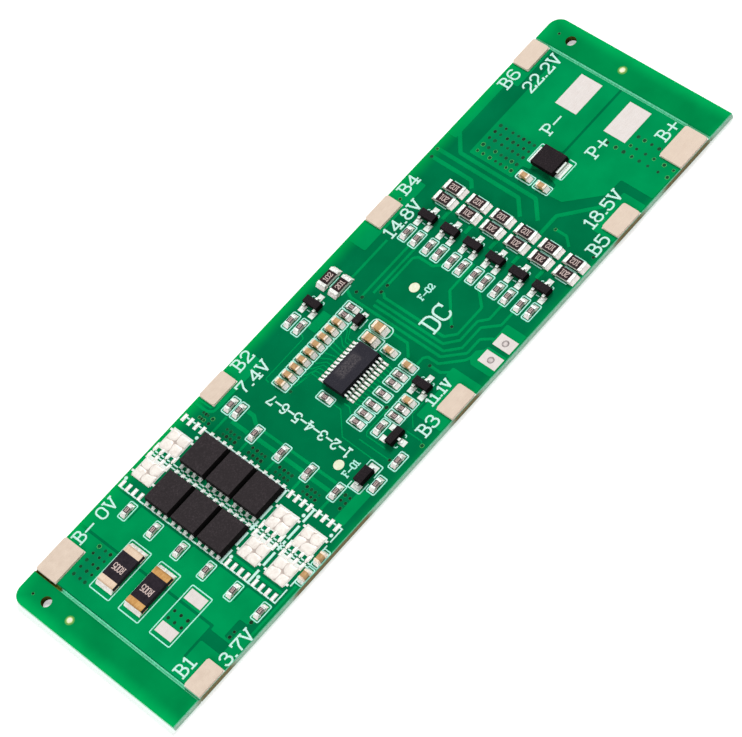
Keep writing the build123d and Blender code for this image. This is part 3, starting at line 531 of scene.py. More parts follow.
via, ask, give = shape_tree("ring and bore at each point", {
    "Radius": "Float", "Plugged": "Float", "Bared": "Float", "Bore finish": "Material",
    "Seed": "Int"})
circle = put(via, "GeometryNodeCurvePrimitiveCircle",
             {"Resolution": BORE_SIDES, "Radius": ask["Radius"]}, mode="RADIUS")
bead = put(via, "GeometryNodeCurvePrimitiveCircle", {"Resolution": 6, "Radius": BEAD},
           mode="RADIUS")
ring = put(via, "GeometryNodeCurveToMesh", {"Curve": circle, "Profile Curve": bead})
disc = put(via, "GeometryNodeMeshCircle", {"Vertices": BORE_SIDES, "Radius": ask["Radius"]},
           fill_type="NGON")
disc = put(via, "GeometryNodeExtrudeMesh",
           {"Mesh": disc, "Offset Scale": DISC_HEIGHT, "Individual": False}, mode="FACES")
disc = put(via, "GeometryNodeStoreNamedAttribute",
           {"Geometry": disc, "Name": "in bore", "Value": True}, data_type="BOOLEAN",
           domain="FACE")
one = put(via, "GeometryNodeJoinGeometry", {0: ring})
via.links.new(disc.outputs[0], one.inputs[0])
second_seed = put(via, "FunctionNodeIntegerMath", {0: ask["Seed"], 1: 3})
size = put(via, "FunctionNodeRandomValue", {2: 0.85, 3: 1.2, "Seed": ask["Seed"]},
           data_type="FLOAT").outputs[1]
uneven = put(via, "FunctionNodeRandomValue", {2: 0.75, 3: 1.1, "Seed": second_seed},
             data_type="FLOAT").outputs[1]
marked = put(via, "GeometryNodeMeshToPoints", {"Mesh": ask["Lines"]})
for word in ("Plugged", "Bared"):
    share = calc(via, "MULTIPLY", ask[word], uneven)
    marked = put(via, "GeometryNodeStoreNamedAttribute",
                 {"Geometry": marked, "Name": word.lower()}, data_type="FLOAT", domain="POINT")
    via.links.new(share, marked.inputs["Value"])
set_out = put(via, "GeometryNodeInstanceOnPoints", {"Points": marked, "Instance": one})
via.links.new(size, set_out.inputs["Scale"])
whole = put(via, "GeometryNodeRealizeInstances", {0: set_out})
whole = put(via, "GeometryNodeSetMaterial", {"Geometry": whole, "Material": ask["Finish"]})
bores = put(via, "GeometryNodeInputNamedAttribute", {"Name": "in bore"}, data_type="BOOLEAN")
whole = put(via, "GeometryNodeSetMaterial",
            {"Geometry": whole, "Selection": bores, "Material": ask["Bore finish"]})
via.links.new(whole.outputs[0], give[0])

# How each hole came out: d an open dark bore, m and f half and wholly plugged, r with its ring bare
VIA_FIELDS = [
    ((-50.56, -49.19, -47.94, -46.66, -45.4), {11.8: "mmfdr", 10.5: "fmddf", 9.45: "fddfd"}),
    ((-47.36, -46.06), {-4.6: "md", -5.9: "md", -7.27: "dd"}),
    ((-22.3, -21.4), {
        14.4: "rf", 13.9: "dd", 13.5: "rf", 12.5: "dr", 9.5: "fm", 8.75: "df", 8.0: "mm",
        7.05: "dm", 4.2: "md", 3.3: "dd", 2.4: "dm", 1.7: "dm", -1.3: "fd", -2.2: "fd",
        -3.0: "mm", -3.75: "ff", -6.8: "fd", -7.65: "df", -8.4: "dm", -9.2: "df"}),
    ((33.7, 34.95, 36.35, 37.6, 38.85), {
        10.8: "rrmdf", 9.7: "rfffd", 8.35: "rrmdm", 7.2: "mffmf", 6.2: "fmmdd", 5.1: "rrmdd",
        4.1: "rfmmf"}),
    ((45.0,), {-4.84: "d", -6.4: "r", -7.9: "m", -9.45: "r", -10.9: "f", -12.5: "f", -14.45: "m",
               -16.2: "r"}),
    ((46.4,), {-8.05: "r", -9.2: "m", -10.9: "f", -12.5: "r", -14.45: "r", -16.2: "r"}),
    ((48.15,), {-8.05: "f", -9.25: "r", -10.6: "m", -12.0: "m"}),
]
vias = {
    "d": [(-44.34, -13.95), (-43.4, -13.95), (-41.0, -14.9), (-20.2, -12.3), (-21.2, -13.1),
          (-19.25, -13.2), (-11.67, -13.75), (5.77, 9.4), (-5.77, -7.6), (7.8, 6.25), (9.1, 6.25),
          (9.2, -6.5), (29.0, -16.06)],
    "m": [(-20.2, -13.2), (-19.25, -12.3), (-11.75, 6.0), (5.58, 8.05), (2.7, -8.2), (29.2, 16.0)],
    "f": [],
    "r": [(-7.4, -16.06), (21.05, 14.9), (30.7, 16.2), (29.6, -8.3)],
}
for xs, field_rows in VIA_FIELDS:
    for y, kinds in field_rows.items():
        for x, kind in zip(xs, kinds):
            vias[kind].append((x, y))
for name, spots, shut, bared_share, seed in (
        ("open_vias", vias["d"], 0.1, 0.12, 4), ("half_plugged_vias", vias["m"], 0.6, 0.05, 5),
        ("plugged_vias", vias["f"], 1.0, 0.0, 6), ("ringed_vias", vias["r"], 0.75, 1.0, 7),
        ("rail_pilot_holes", PILOT_HOLES, 0.0, 0.5, 1)):
    lift, radius = (0.002, 0.00024) if spots is PILOT_HOLES else (0.004, 0.00028)
    grow(name, via, [(x, y, BOARD_TOP + lift) for x, y in spots], Radius=radius, Finish=collar,
         Plugged=shut, Bared=bared_share, Seed=seed, **{"Bore finish": bore})

# White ink. Epoxy ink screened on the mask and baked: frames round the parts, pin marks and the
# words for the cell taps, a few hundredths thick and softly rounded as the screen leaves it.
INK_TOP = 1.042
INK_SLOPE = 0.02
CROSSING = 0.0009  # the step between ribbons that cross
FRAME_LIMIT = -16.86
PIN_PITCH = 1.27
MOSFET_ROWS = [14.4 - 5.46 * k for k in range(6)]
SPARE_ROWS = [MOSFET_ROWS[k] for k in (0, 4, 5)]


def simple_finish(name, group, light, dark, scale, depth, nodes=(), grit=None, **constants):
    """A finish that takes colour, relief and sheen from one effect, and the CAD nodes it is on."""
    finish, tree, skin, place = new_finish(name, **constants)
    more = {"Grit": grit} if grit else {}
    ends = tones(tree, group, place, light, dark, scale, **more)
    colour_skin(tree, skin, ends["Tone"], ends, depth)
    coat(finish, *nodes)
    return finish


# the thin frames let more of the green through
white_ink = simple_finish("white ink", cloudy, (222, 255, 248), (198, 248, 232), 3.5, 0.008,
                          grit=0.65, rough=0.6, shine=0.2)
frame_ink = simple_finish("thin white ink", cloudy, (196, 255, 244), (168, 246, 224), 3.5, 0.008,
                          grit=0.65, rough=0.6, shine=0.2)


def middles(node):
    """(x, y, length, width, top) in millimetres of each separate solid of a CAD node."""
    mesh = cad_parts[node].data
    corner = [tuple(round(c * 1e6) for c in v.co) for v in mesh.vertices]
    owner = {c: c for c in corner}

    def head(c):
        while owner[c] != c:
            owner[c] = owner[owner[c]]
            c = owner[c]
        return c

    for polygon in mesh.polygons:
        first = head(corner[polygon.vertices[0]])
        for v in polygon.vertices[1:]:
            owner[head(corner[v])] = first
    groups = {}
    for c in owner:
        groups.setdefault(head(c), []).append(c)
    boxes = [[tuple(pick(c[i] for c in group) / 1000 for i in range(3)) for pick in (min, max)]
             for group in groups.values()]
    return [((a[0] + b[0]) / 2, (a[1] + b[1]) / 2, b[0] - a[0], b[1] - a[1], b[2])
            for a, b in sorted(boxes)]


def box_path(x0, y0, x1, y1):
    y0 = max(y0, FRAME_LIMIT)
    return [(x0, y0), (x1, y0), (x1, y1), (x0, y1), (x0, y0)]


def turned_path(x, y, path, turned):
    """A path about a part's middle, turned a quarter with the part."""
    return [(x + b, y - a) if turned else (x + a, y + b) for a, b in path]


RESISTORS = ("gate_resistor_ceramics", "sense_resistor_ceramics", "channel_resistor_ceramics")
frames = []
for node in (*RESISTORS, "small_capacitor_ceramics"):
    for x, y, length, width, top in middles(node):
        across, up = (1.46, 0.72) if length > width else (0.72, 1.46)
        frames.append(box_path(x - across, y - up, x + across, y + up))
for n, y in enumerate((6.5, 0.5, -5.9)):
    frames.append(box_path(-50.6 + 0.05 * n, y - 2.02, -41.85 + 0.05 * n, y + 2.02))
for x, y, length, width, top in middles("load_resistor_glazes"):
    for side in (-1.04, 1.04):
        if length < width:
            frames.append([(x + side, y - 1.1), (x + side, y + 1.1)])
        else:
            frames.append([(x - 1.0, y + side), (x + 1.0, y + side)])
frames += [
    [(-17.1, -11.5), (-18.05, -11.5), (-18.05, -13.85), (-16.1, -13.85)],
    [(-14.2, -11.5), (-13.05, -11.5), (-13.05, -13.85), (-15.0, -13.85)],
    [(36.35, 2.4), (36.35, 3.3), (39.75, 3.3), (39.75, 2.6)],
    [(36.4, -2.1), (36.4, -3.4), (39.8, -3.4), (39.8, -2.1)],
    [(1.5, 4.72), (3.3, 4.72)], box_path(0.1, 0.05, 2.05, 3.75),
]
for x, y, length, width, top in middles("balance_transistors") + middles("control_transistors"):
    for side in (-1, 1):
        bracket = [(0.72, side * 1.15), (1.12, side * 1.15), (1.12, side * 0.8)]
        frames.append(turned_path(x, y, bracket, length > width))
    frames.append(turned_path(x, y, ((-1.1, -0.32), (-1.1, 0.32)), length > width))
stroked("ink_frames", frames, frame_ink, 0.17, INK_TOP, 0.2, slope=INK_SLOPE, stagger=CROSSING)
stroked("ink_pill_frame", [box_path(2.3, 0.05, 4.2, 3.95)], frame_ink, 0.17, INK_TOP - 0.0105,
        0.7, slope=INK_SLOPE)

bars = [[(x0, y), (x1, y)] for y in (-4.71, -10.17) for x0, x1 in (
    (-37.0, -34.65), (-33.85, -31.4), (-30.95, -29.3), (-28.9, -26.45), (-25.75, -23.3))]
stroked("ink_row_bars", bars, white_ink, 0.4, INK_TOP, slope=INK_SLOPE)
dashes = [[(x0, -15.6), (x1, -15.6)] for x0, x1 in (
    (-37.0, -34.5), (-33.9, -31.5), (-28.9, -26.4), (-25.8, -23.3))]
for row in MOSFET_ROWS:
    for n in range(5):
        mark = row + 2 * PIN_PITCH - PIN_PITCH * n
        if abs(mark) < 16.4:
            dashes += [[(x, mark - 0.28), (x, mark + 0.28)]
                       for x in (-36.98, -23.38, -30.46, -29.94)]
stroked("ink_pin_dashes", dashes, white_ink, 0.2, INK_TOP, slope=INK_SLOPE, stagger=CROSSING)

dot, ask, give = shape_tree("round spot at each point", {"Radius": "Float", "Height": "Float"})
drum = put(dot, "GeometryNodeMeshCylinder",
           {"Vertices": 20, "Radius": ask["Radius"], "Depth": ask["Height"]})
dots = put(dot, "GeometryNodeMeshToPoints", {"Mesh": ask["Lines"]})
end_tree(dot, put(dot, "GeometryNodeInstanceOnPoints", {"Points": dots, "Instance": drum}),
         ask, give)
ink_middle = (FOOT + INK_TOP) / 2
pin_one = [(-35.5, row + 2.05, ink_middle) for row in SPARE_ROWS]
pin_one += [(-24.95, row - 2.1, ink_middle) for row in SPARE_ROWS]
grow("ink_pin_one_dots", dot, pin_one, Radius=0.00028, Height=(INK_TOP - FOOT) / 1000,
     Finish=white_ink)

# Letters are drawn with one pen: straight strokes with slab ends, and round ones whose corners
# bend. Each has its width, its straight strokes and its round ones, in shares of its height.
STEM, HEAD_SLAB = [(0.17, 0), (0.17, 1)], [(0, 1), (0.3, 1)]
FOOT_SLAB, LONG_SLAB = [(0, 0), (0.3, 0)], [(0, 0), (0.36, 0)]
LETTERS = {
    "B": (0.8, [STEM, HEAD_SLAB, FOOT_SLAB],
          [[(0.17, 1), (0.66, 1), (0.66, 0.53), (0.17, 0.53)],
           [(0.3, 0.53), (0.74, 0.53), (0.74, 0), (0.17, 0)]]),
    "P": (0.78, [STEM, HEAD_SLAB, LONG_SLAB], [[(0.17, 1), (0.7, 1), (0.7, 0.46), (0.17, 0.46)]]),
    "R": (0.84, [[(0.15, 0), (0.15, 1)], [(0.45, 0.48), (0.76, 0)], FOOT_SLAB],
          [[(0.15, 1), (0.7, 1), (0.7, 0.5), (0.15, 0.5)]]),
    "D": (0.82, [STEM, HEAD_SLAB, FOOT_SLAB], [[(0.17, 1), (0.76, 1), (0.76, 0), (0.17, 0)]]),
    "C": (0.8, [[(0.74, 0.72), (0.74, 1)]],
          [[(0.74, 0.8), (0.7, 1), (0.05, 1), (0.05, 0), (0.72, 0), (0.74, 0.24)]]),
    "F": (0.76, [STEM, [(0, 1), (0.7, 1)], [(0.7, 1), (0.7, 0.84)], [(0.17, 0.53), (0.52, 0.53)],
                 LONG_SLAB], []),
    "V": (0.84, [[(0.1, 1), (0.42, 0)], [(0.74, 1), (0.42, 0)], [(0, 1), (0.24, 1)],
                 [(0.6, 1), (0.84, 1)]], []),
    "0": (0.74, [], [[(0.05, 0), (0.69, 0), (0.69, 1), (0.05, 1), (0.05, 0)]]),
    "1": (0.58, [[(0.3, 0), (0.3, 1)], [(0.08, 0.84), (0.3, 1)], [(0.05, 0), (0.55, 0)]], []),
    "2": (0.78, [[(0.04, 0.02), (0.74, 0.02)], [(0.74, 0.02), (0.74, 0.18)]],
          [[(0.07, 0.72), (0.07, 1), (0.7, 1), (0.7, 0.56), (0.3, 0.3), (0.06, 0.02)]]),
    "3": (0.76, [], [[(0.06, 0.76), (0.1, 1), (0.66, 1), (0.66, 0.55), (0.28, 0.55)],
                     [(0.28, 0.55), (0.72, 0.55), (0.72, 0), (0.03, 0), (0.03, 0.24)]]),
    "4": (0.8, [[(0.57, 0), (0.57, 1)], [(0.57, 1), (0.03, 0.3)], [(0.03, 0.3), (0.78, 0.3)],
                [(0.38, 0), (0.76, 0)]], []),
    "5": (0.78, [[(0.12, 1), (0.66, 1)], [(0.12, 1), (0.12, 0.55)]],
          [[(0.12, 0.55), (0.3, 0.65), (0.73, 0.65), (0.73, 0), (0.03, 0), (0.03, 0.22)]]),
    "6": (0.78, [], [[(0.66, 0.82), (0.64, 1), (0.08, 1), (0.06, 0), (0.72, 0), (0.72, 0.58),
                      (0.1, 0.58)]]),
    "7": (0.78, [[(0.04, 0.8), (0.04, 1)], [(0.04, 1), (0.76, 1)]],
          [[(0.76, 1), (0.4, 0.45), (0.32, 0)]]),
    "8": (0.76, [], [[(0.1, 0.54), (0.66, 0.54), (0.66, 1), (0.1, 1), (0.1, 0.54)],
                     [(0.05, 0), (0.71, 0), (0.71, 0.54), (0.05, 0.54), (0.05, 0)]]),
    ".": (0.3, [[(0.08, 0.04), (0.22, 0.04)]], []),
    "-": (0.9, [[(0.04, 0.42), (0.86, 0.42)]], []),
    "+": (0.9, [[(0.04, 0.42), (0.86, 0.42)], [(0.45, 0.02), (0.45, 0.84)]], []),
}
LETTER_GAP = 0.1


def write_word(word, x0, y0, x1, y1, turned=False):
    """Straight and round strokes of a word that fills a box. A turned word reads along Y."""
    total = sum(LETTERS[c][0] for c in word) + LETTER_GAP * (len(word) - 1)
    run, rise = (y1 - y0, x1 - x0) if turned else (x1 - x0, y1 - y0)
    pen, straight, curved = 0.0, [], []
    for c in word:
        advance, bars, bowls = LETTERS[c]
        for strokes, into in ((bars, straight), (bowls, curved)):
            for stroke in strokes:
                flat = [((pen + a) / total * run, b * rise) for a, b in stroke]
                into.append([(x1 - b, y0 + a) if turned else (x0 + a, y0 + b) for a, b in flat])
        pen += advance + LETTER_GAP
    return straight, curved


def lengthened(start, end, more):
    """A straight stroke drawn out at both ends."""
    share = more / math.dist(start, end)
    x, y = share * (end[0] - start[0]), share * (end[1] - start[1])
    return [(start[0] - x, start[1] - y), (end[0] + x, end[1] + y)]


def ink_words(name, words, finish, pen, bend, foot=FOOT, top=INK_TOP, slot="laminate"):
    """All the words of one size, as one piece for their straight strokes and one for the round."""
    straight, curved, stagger = [], [], 0.0205 * (top - foot)
    for item in words:
        bars, bowls = write_word(*item)
        straight += [lengthened(start, end, 0.3 * pen) for start, end in bars]
        curved += bowls
    stroked(name, straight, finish, pen, top, 0.0, 1, 0.015, stagger, foot, slot)
    if curved:
        stroked(name + "_bowls", curved, finish, pen, top - stagger / 2, bend, 7, 0.015, stagger,
                foot, slot)


ink_words("ink_tap_words", [
    ("B-", -46.85, 14.35, -43.3, 16.3), ("0V", -42.25, 14.35, -38.9, 16.3),
    ("B1", -52.6, -12.9, -49.8, -10.85), ("3.7V", -47.7, -16.8, -42.0, -14.85),
    ("B2", -13.65, 14.65, -10.4, 16.65), ("7.4V", -15.95, 11.4, -10.2, 13.4),
    ("11.1V", -1.95, -13.0, 2.45, -11.5), ("B3", -6.15, -15.6, -2.95, -13.6),
    ("B4", 22.0, 14.6, 25.3, 16.5), ("14.8V", 15.3, 11.25, 22.2, 13.25),
    ("18.5V", 32.5, -12.85, 39.4, -10.85), ("B5", 29.3, -16.3, 32.6, -14.25),
    ("B6", 44.2, 14.35, 47.5, 16.35), ("22.2V", 45.6, 10.75, 52.8, 12.85),
    ("P-", 41.35, 3.35, 44.9, 5.25), ("P+", 41.85, -5.15, 45.4, -3.15),
    ("B+", 49.55, -11.95, 53.0, -9.95),
], white_ink, 0.28, 0.6)
ink_words("ink_current_mark", [("DC", 6.9, -5.1, 11.1, -2.2)], white_ink, 0.34, 0.9)
ink_words("ink_cell_count", [("1-2-3-4-5-6-7", -15.0, -8.3, -13.5, 7.9, True)], white_ink, 0.25,
          0.45)
ink_words("ink_target_names", [("F-01", -17.15, -10.6, -14.35, -9.5),
                               ("F-02", 10.05, 0.1, 12.85, 1.15)], frame_ink, 0.2, 0.25)

# Nickel weld tabs. Stamped strips of nickel, soldered flat on the edge pads for the cells' wires,
# matt and faintly pink from rolling.
SHEEN_ENDS = {"Tone": "Color", "Relief": "Float", "Roughness": "Float"}
TONE_ASKS = {"Place": "Vector", "Light": "Color", "Dark": "Color", "Scale": "Float"}
drawn, ask, give = effect_group("rolled metal", TONE_ASKS, SHEEN_ENDS)
along = put(drawn, "ShaderNodeMapping", {"Vector": ask["Place"], "Scale": (0.5, 6.0, 1.0)})
streaks = noise_node(drawn, along, ask["Scale"], 6.0, roughness=0.7).outputs[0]
blotch = noise_node(drawn, ask["Place"], 0.9, 3.0).outputs[0]
mixed = remap(drawn, calc(drawn, "ADD", streaks, blotch), 0.75, 1.25)
drawn.links.new(blend_tones(drawn, mixed, ask["Dark"], ask["Light"]), give["Tone"])
drawn.links.new(streaks, give["Relief"])
drawn.links.new(remap(drawn, blotch, 0.3, 0.7, 0.5, 0.68), give["Roughness"])

simple_finish("rolled nickel", drawn, (233, 214, 196), (222, 202, 184), 1.6, 0.006,
              ("tab_b_minus", "tab_b_plus", *(f"tab_b{n}" for n in range(1, 7))),
              metal=0.06, shine=0.05)

# Tinned lands. Pads of the board's own copper, open through the mask, with a levelled skin of tin:
# dull white, the small ones brighter.
LEVELLED_TIN = ((236, 229, 225), (226, 217, 212), 0.8)
simple_finish("levelled tin", drawn, *LEVELLED_TIN, 0.01,
              ("tab_lands", "controller_lands", "output_pad_minus", "output_pad_plus",
               "spare_shunt_lands"), metal=0.06, shine=0.05)
simple_finish("bright tin", drawn, (244, 250, 245), (232, 240, 233), 0.8, 0.01,
              ("mosfet_lands", "transistor_lands", "diode_lands"), metal=0.06, shine=0.05)

probe_tin, tree, skin, place = new_finish("probe pad tin", metal=0.06, shine=0.05)
tin = tones(tree, drawn, place, *LEVELLED_TIN)
well = cloud(tree, place, (196, 186, 184), (150, 140, 140), 2.0)
in_well = remap(tree, axes(tree, place)["Z"], 1.045, 1.02)
colour_skin(tree, skin, blend_tones(tree, in_well, tin["Tone"], well), tin, 0.01)
coat(probe_tin, "probe_pads")


def from_faces(name, form, finish):
    """The piece that a bmesh holds, on the board, and its mesh."""
    mesh = bpy.data.meshes.new(name)
    form.to_mesh(mesh)
    form.free()
    mesh.materials.append(finish)
    piece = bpy.data.objects.new(name, mesh)
    scene.collection.objects.link(piece)
    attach(piece, "root")
    return mesh


# each pad's drilled middle is filled with a shallow dish of solder: a grey rim round a paler floor
DISH_SIDES = 32
DISH_PROFILE = ((0.56, 0.99), (0.56, 1.052), (0.5, 1.055), (0.36, 1.038), (0.2, 1.032))
dish_finish, tree, skin, place = new_finish("dished solder", metal=0.1, shine=0.2)
rim_tone = tones(tree, cloudy, place, (166, 156, 154), (124, 114, 114), 2.4, Grit=0.6)
floor_tone = cloud(tree, place, (226, 216, 212), (188, 178, 176), 2.4)
on_rim = remap(tree, axes(tree, place)["Z"], 1.034, 1.042)
dish_tone = blend_tones(tree, on_rim, floor_tone, rim_tone["Tone"])
colour_skin(tree, skin, dish_tone, rim_tone, 0.01)
dishes = bmesh.new()
turns = [2 * math.pi * k / DISH_SIDES for k in range(DISH_SIDES)]
for x, y, length, width, top in middles("probe_pads"):
    rings = [[dishes.verts.new(((x + radius * math.cos(turn)) / 1000,
                                (y + radius * math.sin(turn)) / 1000, z / 1000))
              for turn in turns] for radius, z in DISH_PROFILE]
    for inner, outer in zip(rings[1:], rings):
        for k in range(DISH_SIDES):
            after = (k + 1) % DISH_SIDES
            dishes.faces.new((outer[k], outer[after], inner[after], inner[k]))
    dishes.faces.new(rings[-1])
    dishes.faces.new(list(reversed(rings[0])))
from_faces("probe_pad_dishes", dishes, dish_finish)

# Solder. Tin alloy that holds every part: fillets that climb the chip ends, and the lumps that
# reflow left on the places with no transistor, wrinkled where the paste's windows ran together.
frozen, ask, give = effect_group("frozen solder", TONE_ASKS, SHEEN_ENDS)
wrinkles = noise_node(frozen, ask["Place"], ask["Scale"], 4.0, distortion=1.2).outputs[0]
mixed = remap(frozen, wrinkles, 0.35, 0.6)
frozen.links.new(blend_tones(frozen, mixed, ask["Dark"], ask["Light"]), give["Tone"])
frozen.links.new(wrinkles, give["Relief"])
frozen.links.new(remap(frozen, wrinkles, 0.3, 0.7, 0.3, 0.5), give["Roughness"])

solder = simple_finish(
    "solder", frozen, (255, 250, 246), (236, 226, 221), 1.4, 0.012,
    ("channel_resistor_joints", "gate_resistor_joints", "load_resistor_joints",
     "medium_capacitor_joints", "sense_resistor_joints", "shunt_joints", "small_capacitor_joints"),
    metal=0.45, shine=0.4)

target_tin, tree, skin, place = new_finish("rail target tin", metal=0.06, shine=0.05)
tin = tones(tree, cloudy, place, (250, 250, 232), (226, 232, 190), 2.0, Grit=0.6)
rim = cloud(tree, place, (196, 214, 130), (150, 190, 96), 2.0)
at_x, at_y = axes(tree, place)[:2]
off_centre = gather(tree, "MINIMUM", [distance(tree, at_x, at_y, t) for t in RAIL_TARGETS])
outward = window(tree, off_centre, 0.4, 1.0, 0.1)
colour_skin(tree, skin, blend_tones(tree, outward, tin["Tone"], rim), tin, 0.01)
coat(target_tin, "alignment_targets")

CELLS = 36
BANK_MIDDLE = -30.2
PILLOW_SPANS = ((-34.72, -31.3), (-29.15, -25.7))
PILLOW_HALF = 1.9
SQUARENESS = 3.4
LAND_TOP, PILLOW_FOOT = 1.04, 1.045
drains = [m for m in middles("mosfet_lands") if m[2] > 2.0]
teeth = [m for m in middles("mosfet_lands") if m[2] <= 2.0]
pillows = bmesh.new()
crease_shade_marks = []
for n, (x, y, length, width, top) in enumerate(drains):
    if min(abs(y - row) for row in SPARE_ROWS) > 1.0:
        continue
    x0, x1 = PILLOW_SPANS[x > BANK_MIDDLE]
    y0, y1 = y - PILLOW_HALF, y + PILLOW_HALF
    grid = []
    for j in range(CELLS + 1):
        line = []
        for i in range(CELLS + 1):
            u, v = i / CELLS, j / CELLS
            sway_u = 0.13 * noise.noise(Vector((v * 2.6, 3.1, n * 3.7))) * math.sin(math.pi * u)
            sway_v = 0.14 * noise.noise(Vector((u * 2.6, 7.3, n * 3.7))) * math.sin(math.pi * v)
            across = abs(abs(u + sway_u - 0.5) * 4 - 1)
            along = abs(abs(v + sway_v - 0.5) * 4 - 1)
            reach = min(1.0, (across ** SQUARENESS + along ** SQUARENESS) ** (1 / SQUARENESS))
            inset = min(1.0, 14 * min(u, 1 - u, v, 1 - v))
            plump = 0.9 + 0.3 * noise.noise(Vector((u * 1.6, v * 1.6, 9 + n * 2.1)))
            crown = 0.06 + 0.12 * plump * (1 - reach ** 5) ** 0.5
            crease_shade_marks.append(max(0.0, reach - 0.87) / 0.13 * inset)
            line.append(pillows.verts.new((
                (x0 + u * (x1 - x0)) / 1000, (y0 + v * (y1 - y0)) / 1000,
                (PILLOW_FOOT + crown * inset ** 0.6) / 1000)))
        grid.append(line)
    for low, high in zip(grid, grid[1:]):
        for i in range(CELLS):
            pillows.faces.new((low[i], low[i + 1], high[i + 1], high[i]))
    rim = (grid[0] + [line[-1] for line in grid[1:]] + grid[-1][-2::-1]
           + [line[0] for line in grid[-2:0:-1]])
    pillows.faces.new(list(reversed(rim)))
creased, tree, skin, place = new_finish("creased solder", metal=0.15, shine=0.2)
lump = tones(tree, frozen, place, (252, 246, 238), (242, 232, 223), 1.2)
crease = put(tree, "ShaderNodeAttribute", attribute_name="crease").outputs["Fac"]
# painted shade: the solder is darker along the creases where its lumps meet
crease_shade = remap(tree, crease, 0.1, 1.0, 0.0, 0.85, smooth=True)
colour_skin(tree, skin, blend_tones(tree, crease_shade, lump["Tone"], tint(180, 164, 155)), lump, 0.01)
pillow_mesh = from_faces("spare_place_solder", pillows, creased)
for polygon in pillow_mesh.polygons:
    polygon.use_smooth = len(polygon.vertices) == 4
creases = pillow_mesh.attributes.new("crease", "FLOAT", "POINT")
creases.data.foreach_set("value", crease_shade_marks)

lump_tree, ask, give = shape_tree("solder lump at each point", {
    "Length": "Float", "Width": "Float", "Height": "Float", "Seed": "Int"})
ball = put(lump_tree, "GeometryNodeMeshUVSphere", {"Segments": 14, "Rings": 8, "Radius": 1.0})
smooth = put(lump_tree, "GeometryNodeSetShadeSmooth", {"Geometry": ball, "Shade Smooth": True})
size = put(lump_tree, "ShaderNodeCombineXYZ", {0: ask["Length"], 1: ask["Width"], 2: ask["Height"]})
flat_ball = put(lump_tree, "GeometryNodeTransform", {"Geometry": smooth, "Scale": size})
dots = put(lump_tree, "GeometryNodeMeshToPoints", {"Mesh": ask["Lines"]})
vary = put(lump_tree, "FunctionNodeRandomValue", {2: 0.88, 3: 1.08, "Seed": ask["Seed"]},
           data_type="FLOAT")
set_out = put(lump_tree, "GeometryNodeInstanceOnPoints", {"Points": dots, "Instance": flat_ball})
lump_tree.links.new(vary.outputs[1], set_out.inputs["Scale"])
end_tree(lump_tree, set_out, ask, give)
spare_teeth = [(x, y, LAND_TOP) for x, y, length, width, top in teeth
               if min(abs(y - row) for row in SPARE_ROWS) < 2.6]
spare_teeth += [(x, row + 1.5 * PIN_PITCH - PIN_PITCH * n, LAND_TOP)
                for x in (-30.86, -29.55) for row in SPARE_ROWS for n in range(4)]
grow("spare_pin_solder", lump_tree, spare_teeth, slot="solder", Length=0.00058, Width=0.00027,
     Height=0.00014, Seed=3, Finish=solder)

# Moulded packages. The power transistors, the controller, the small transistors and the diodes are
# black filled epoxy with a fine sparkle of filler grains, and stand on their soldered leads.
grainy, ask, give = effect_group(
    "moulding compound", {"Place": "Vector", "Body": "Color", "Grain": "Color", "Scale": "Float"},
    {"Tone": "Color", "Relief": "Float"})
grains = noise_node(grainy, ask["Place"], ask["Scale"], 8.0, roughness=0.8).outputs[0]
haze = noise_node(grainy, ask["Place"], 0.5, 2.0).outputs[0]
specked = calc(grainy, "MULTIPLY", remap(grainy, grains, 0.5, 0.72), haze)
grainy.links.new(blend_tones(grainy, specked, ask["Body"], ask["Grain"]), give["Tone"])
grainy.links.new(grains, give["Relief"])


def compound(tree, place, body, grain, scale):
    sockets = {"Place": place, "Body": body, "Grain": grain, "Scale": scale}
    return put(tree, "ShaderNodeGroup", sockets, node_tree=grainy).outputs


def moulding(name, body, grain, scale, rough, depth, nodes, worn=None):
    """A moulded body, with painted shade that makes its flanks darker than its top. A worn patch
    (x0, x1, y0, y1) is mottled grey, with nothing to read in it."""
    finish, tree, skin, place = new_finish(name, shine=0.03, rough=rough)
    body, grain = tint(*body), tint(*grain)
    top = compound(tree, place, body, grain, scale)
    # painted shade: the flanks get a copy of the compound at a quarter of its brightness
    flank_shade = compound(tree, place, tuple(0.25 * v for v in body[:3]) + (1.0,), body, scale)
    face_up = axes(tree, put(tree, "ShaderNodeNewGeometry").outputs["Normal"])["Z"]
    tone = top["Tone"]
    if worn:
        x0, x1, y0, y1 = worn
        at_x, at_y = axes(tree, place)[:2]
        patch = calc(tree, "MULTIPLY", window(tree, at_x, x0, x1, 0.4),
                     window(tree, at_y, y0, y1, 0.3))
        specks = noise_node(tree, place, 4.2, 4.0, roughness=0.8)
        share = calc(tree, "MULTIPLY", patch, remap(tree, specks, 0.4, 0.62, 0.0, 0.6))
        tone = blend_tones(tree, share, tone, tint(112, 106, 108))
    on_top = remap(tree, face_up, 0.5, 0.95)
    colour_skin(tree, skin, blend_tones(tree, on_top, flank_shade["Tone"], tone), top, depth)
    coat(finish, *nodes)


moulding("power transistor mould", (50, 45, 47), (104, 94, 98), 5.0, 0.6, 0.02,
         [f"mosfet_{n}" for n in range(1, 7)])
moulding("controller mould", (46, 45, 53), (96, 92, 98), 6.0, 0.5, 0.012, ["controller_body"],
         (-6.3, -2.2, 0.1, 1.9))
moulding("small package mould", (34, 29, 32), (96, 84, 88), 6.0, 0.55, 0.015,
         ["balance_transistors", "control_transistors", "signal_diode", "zener_diode",
          "clamp_diode"])

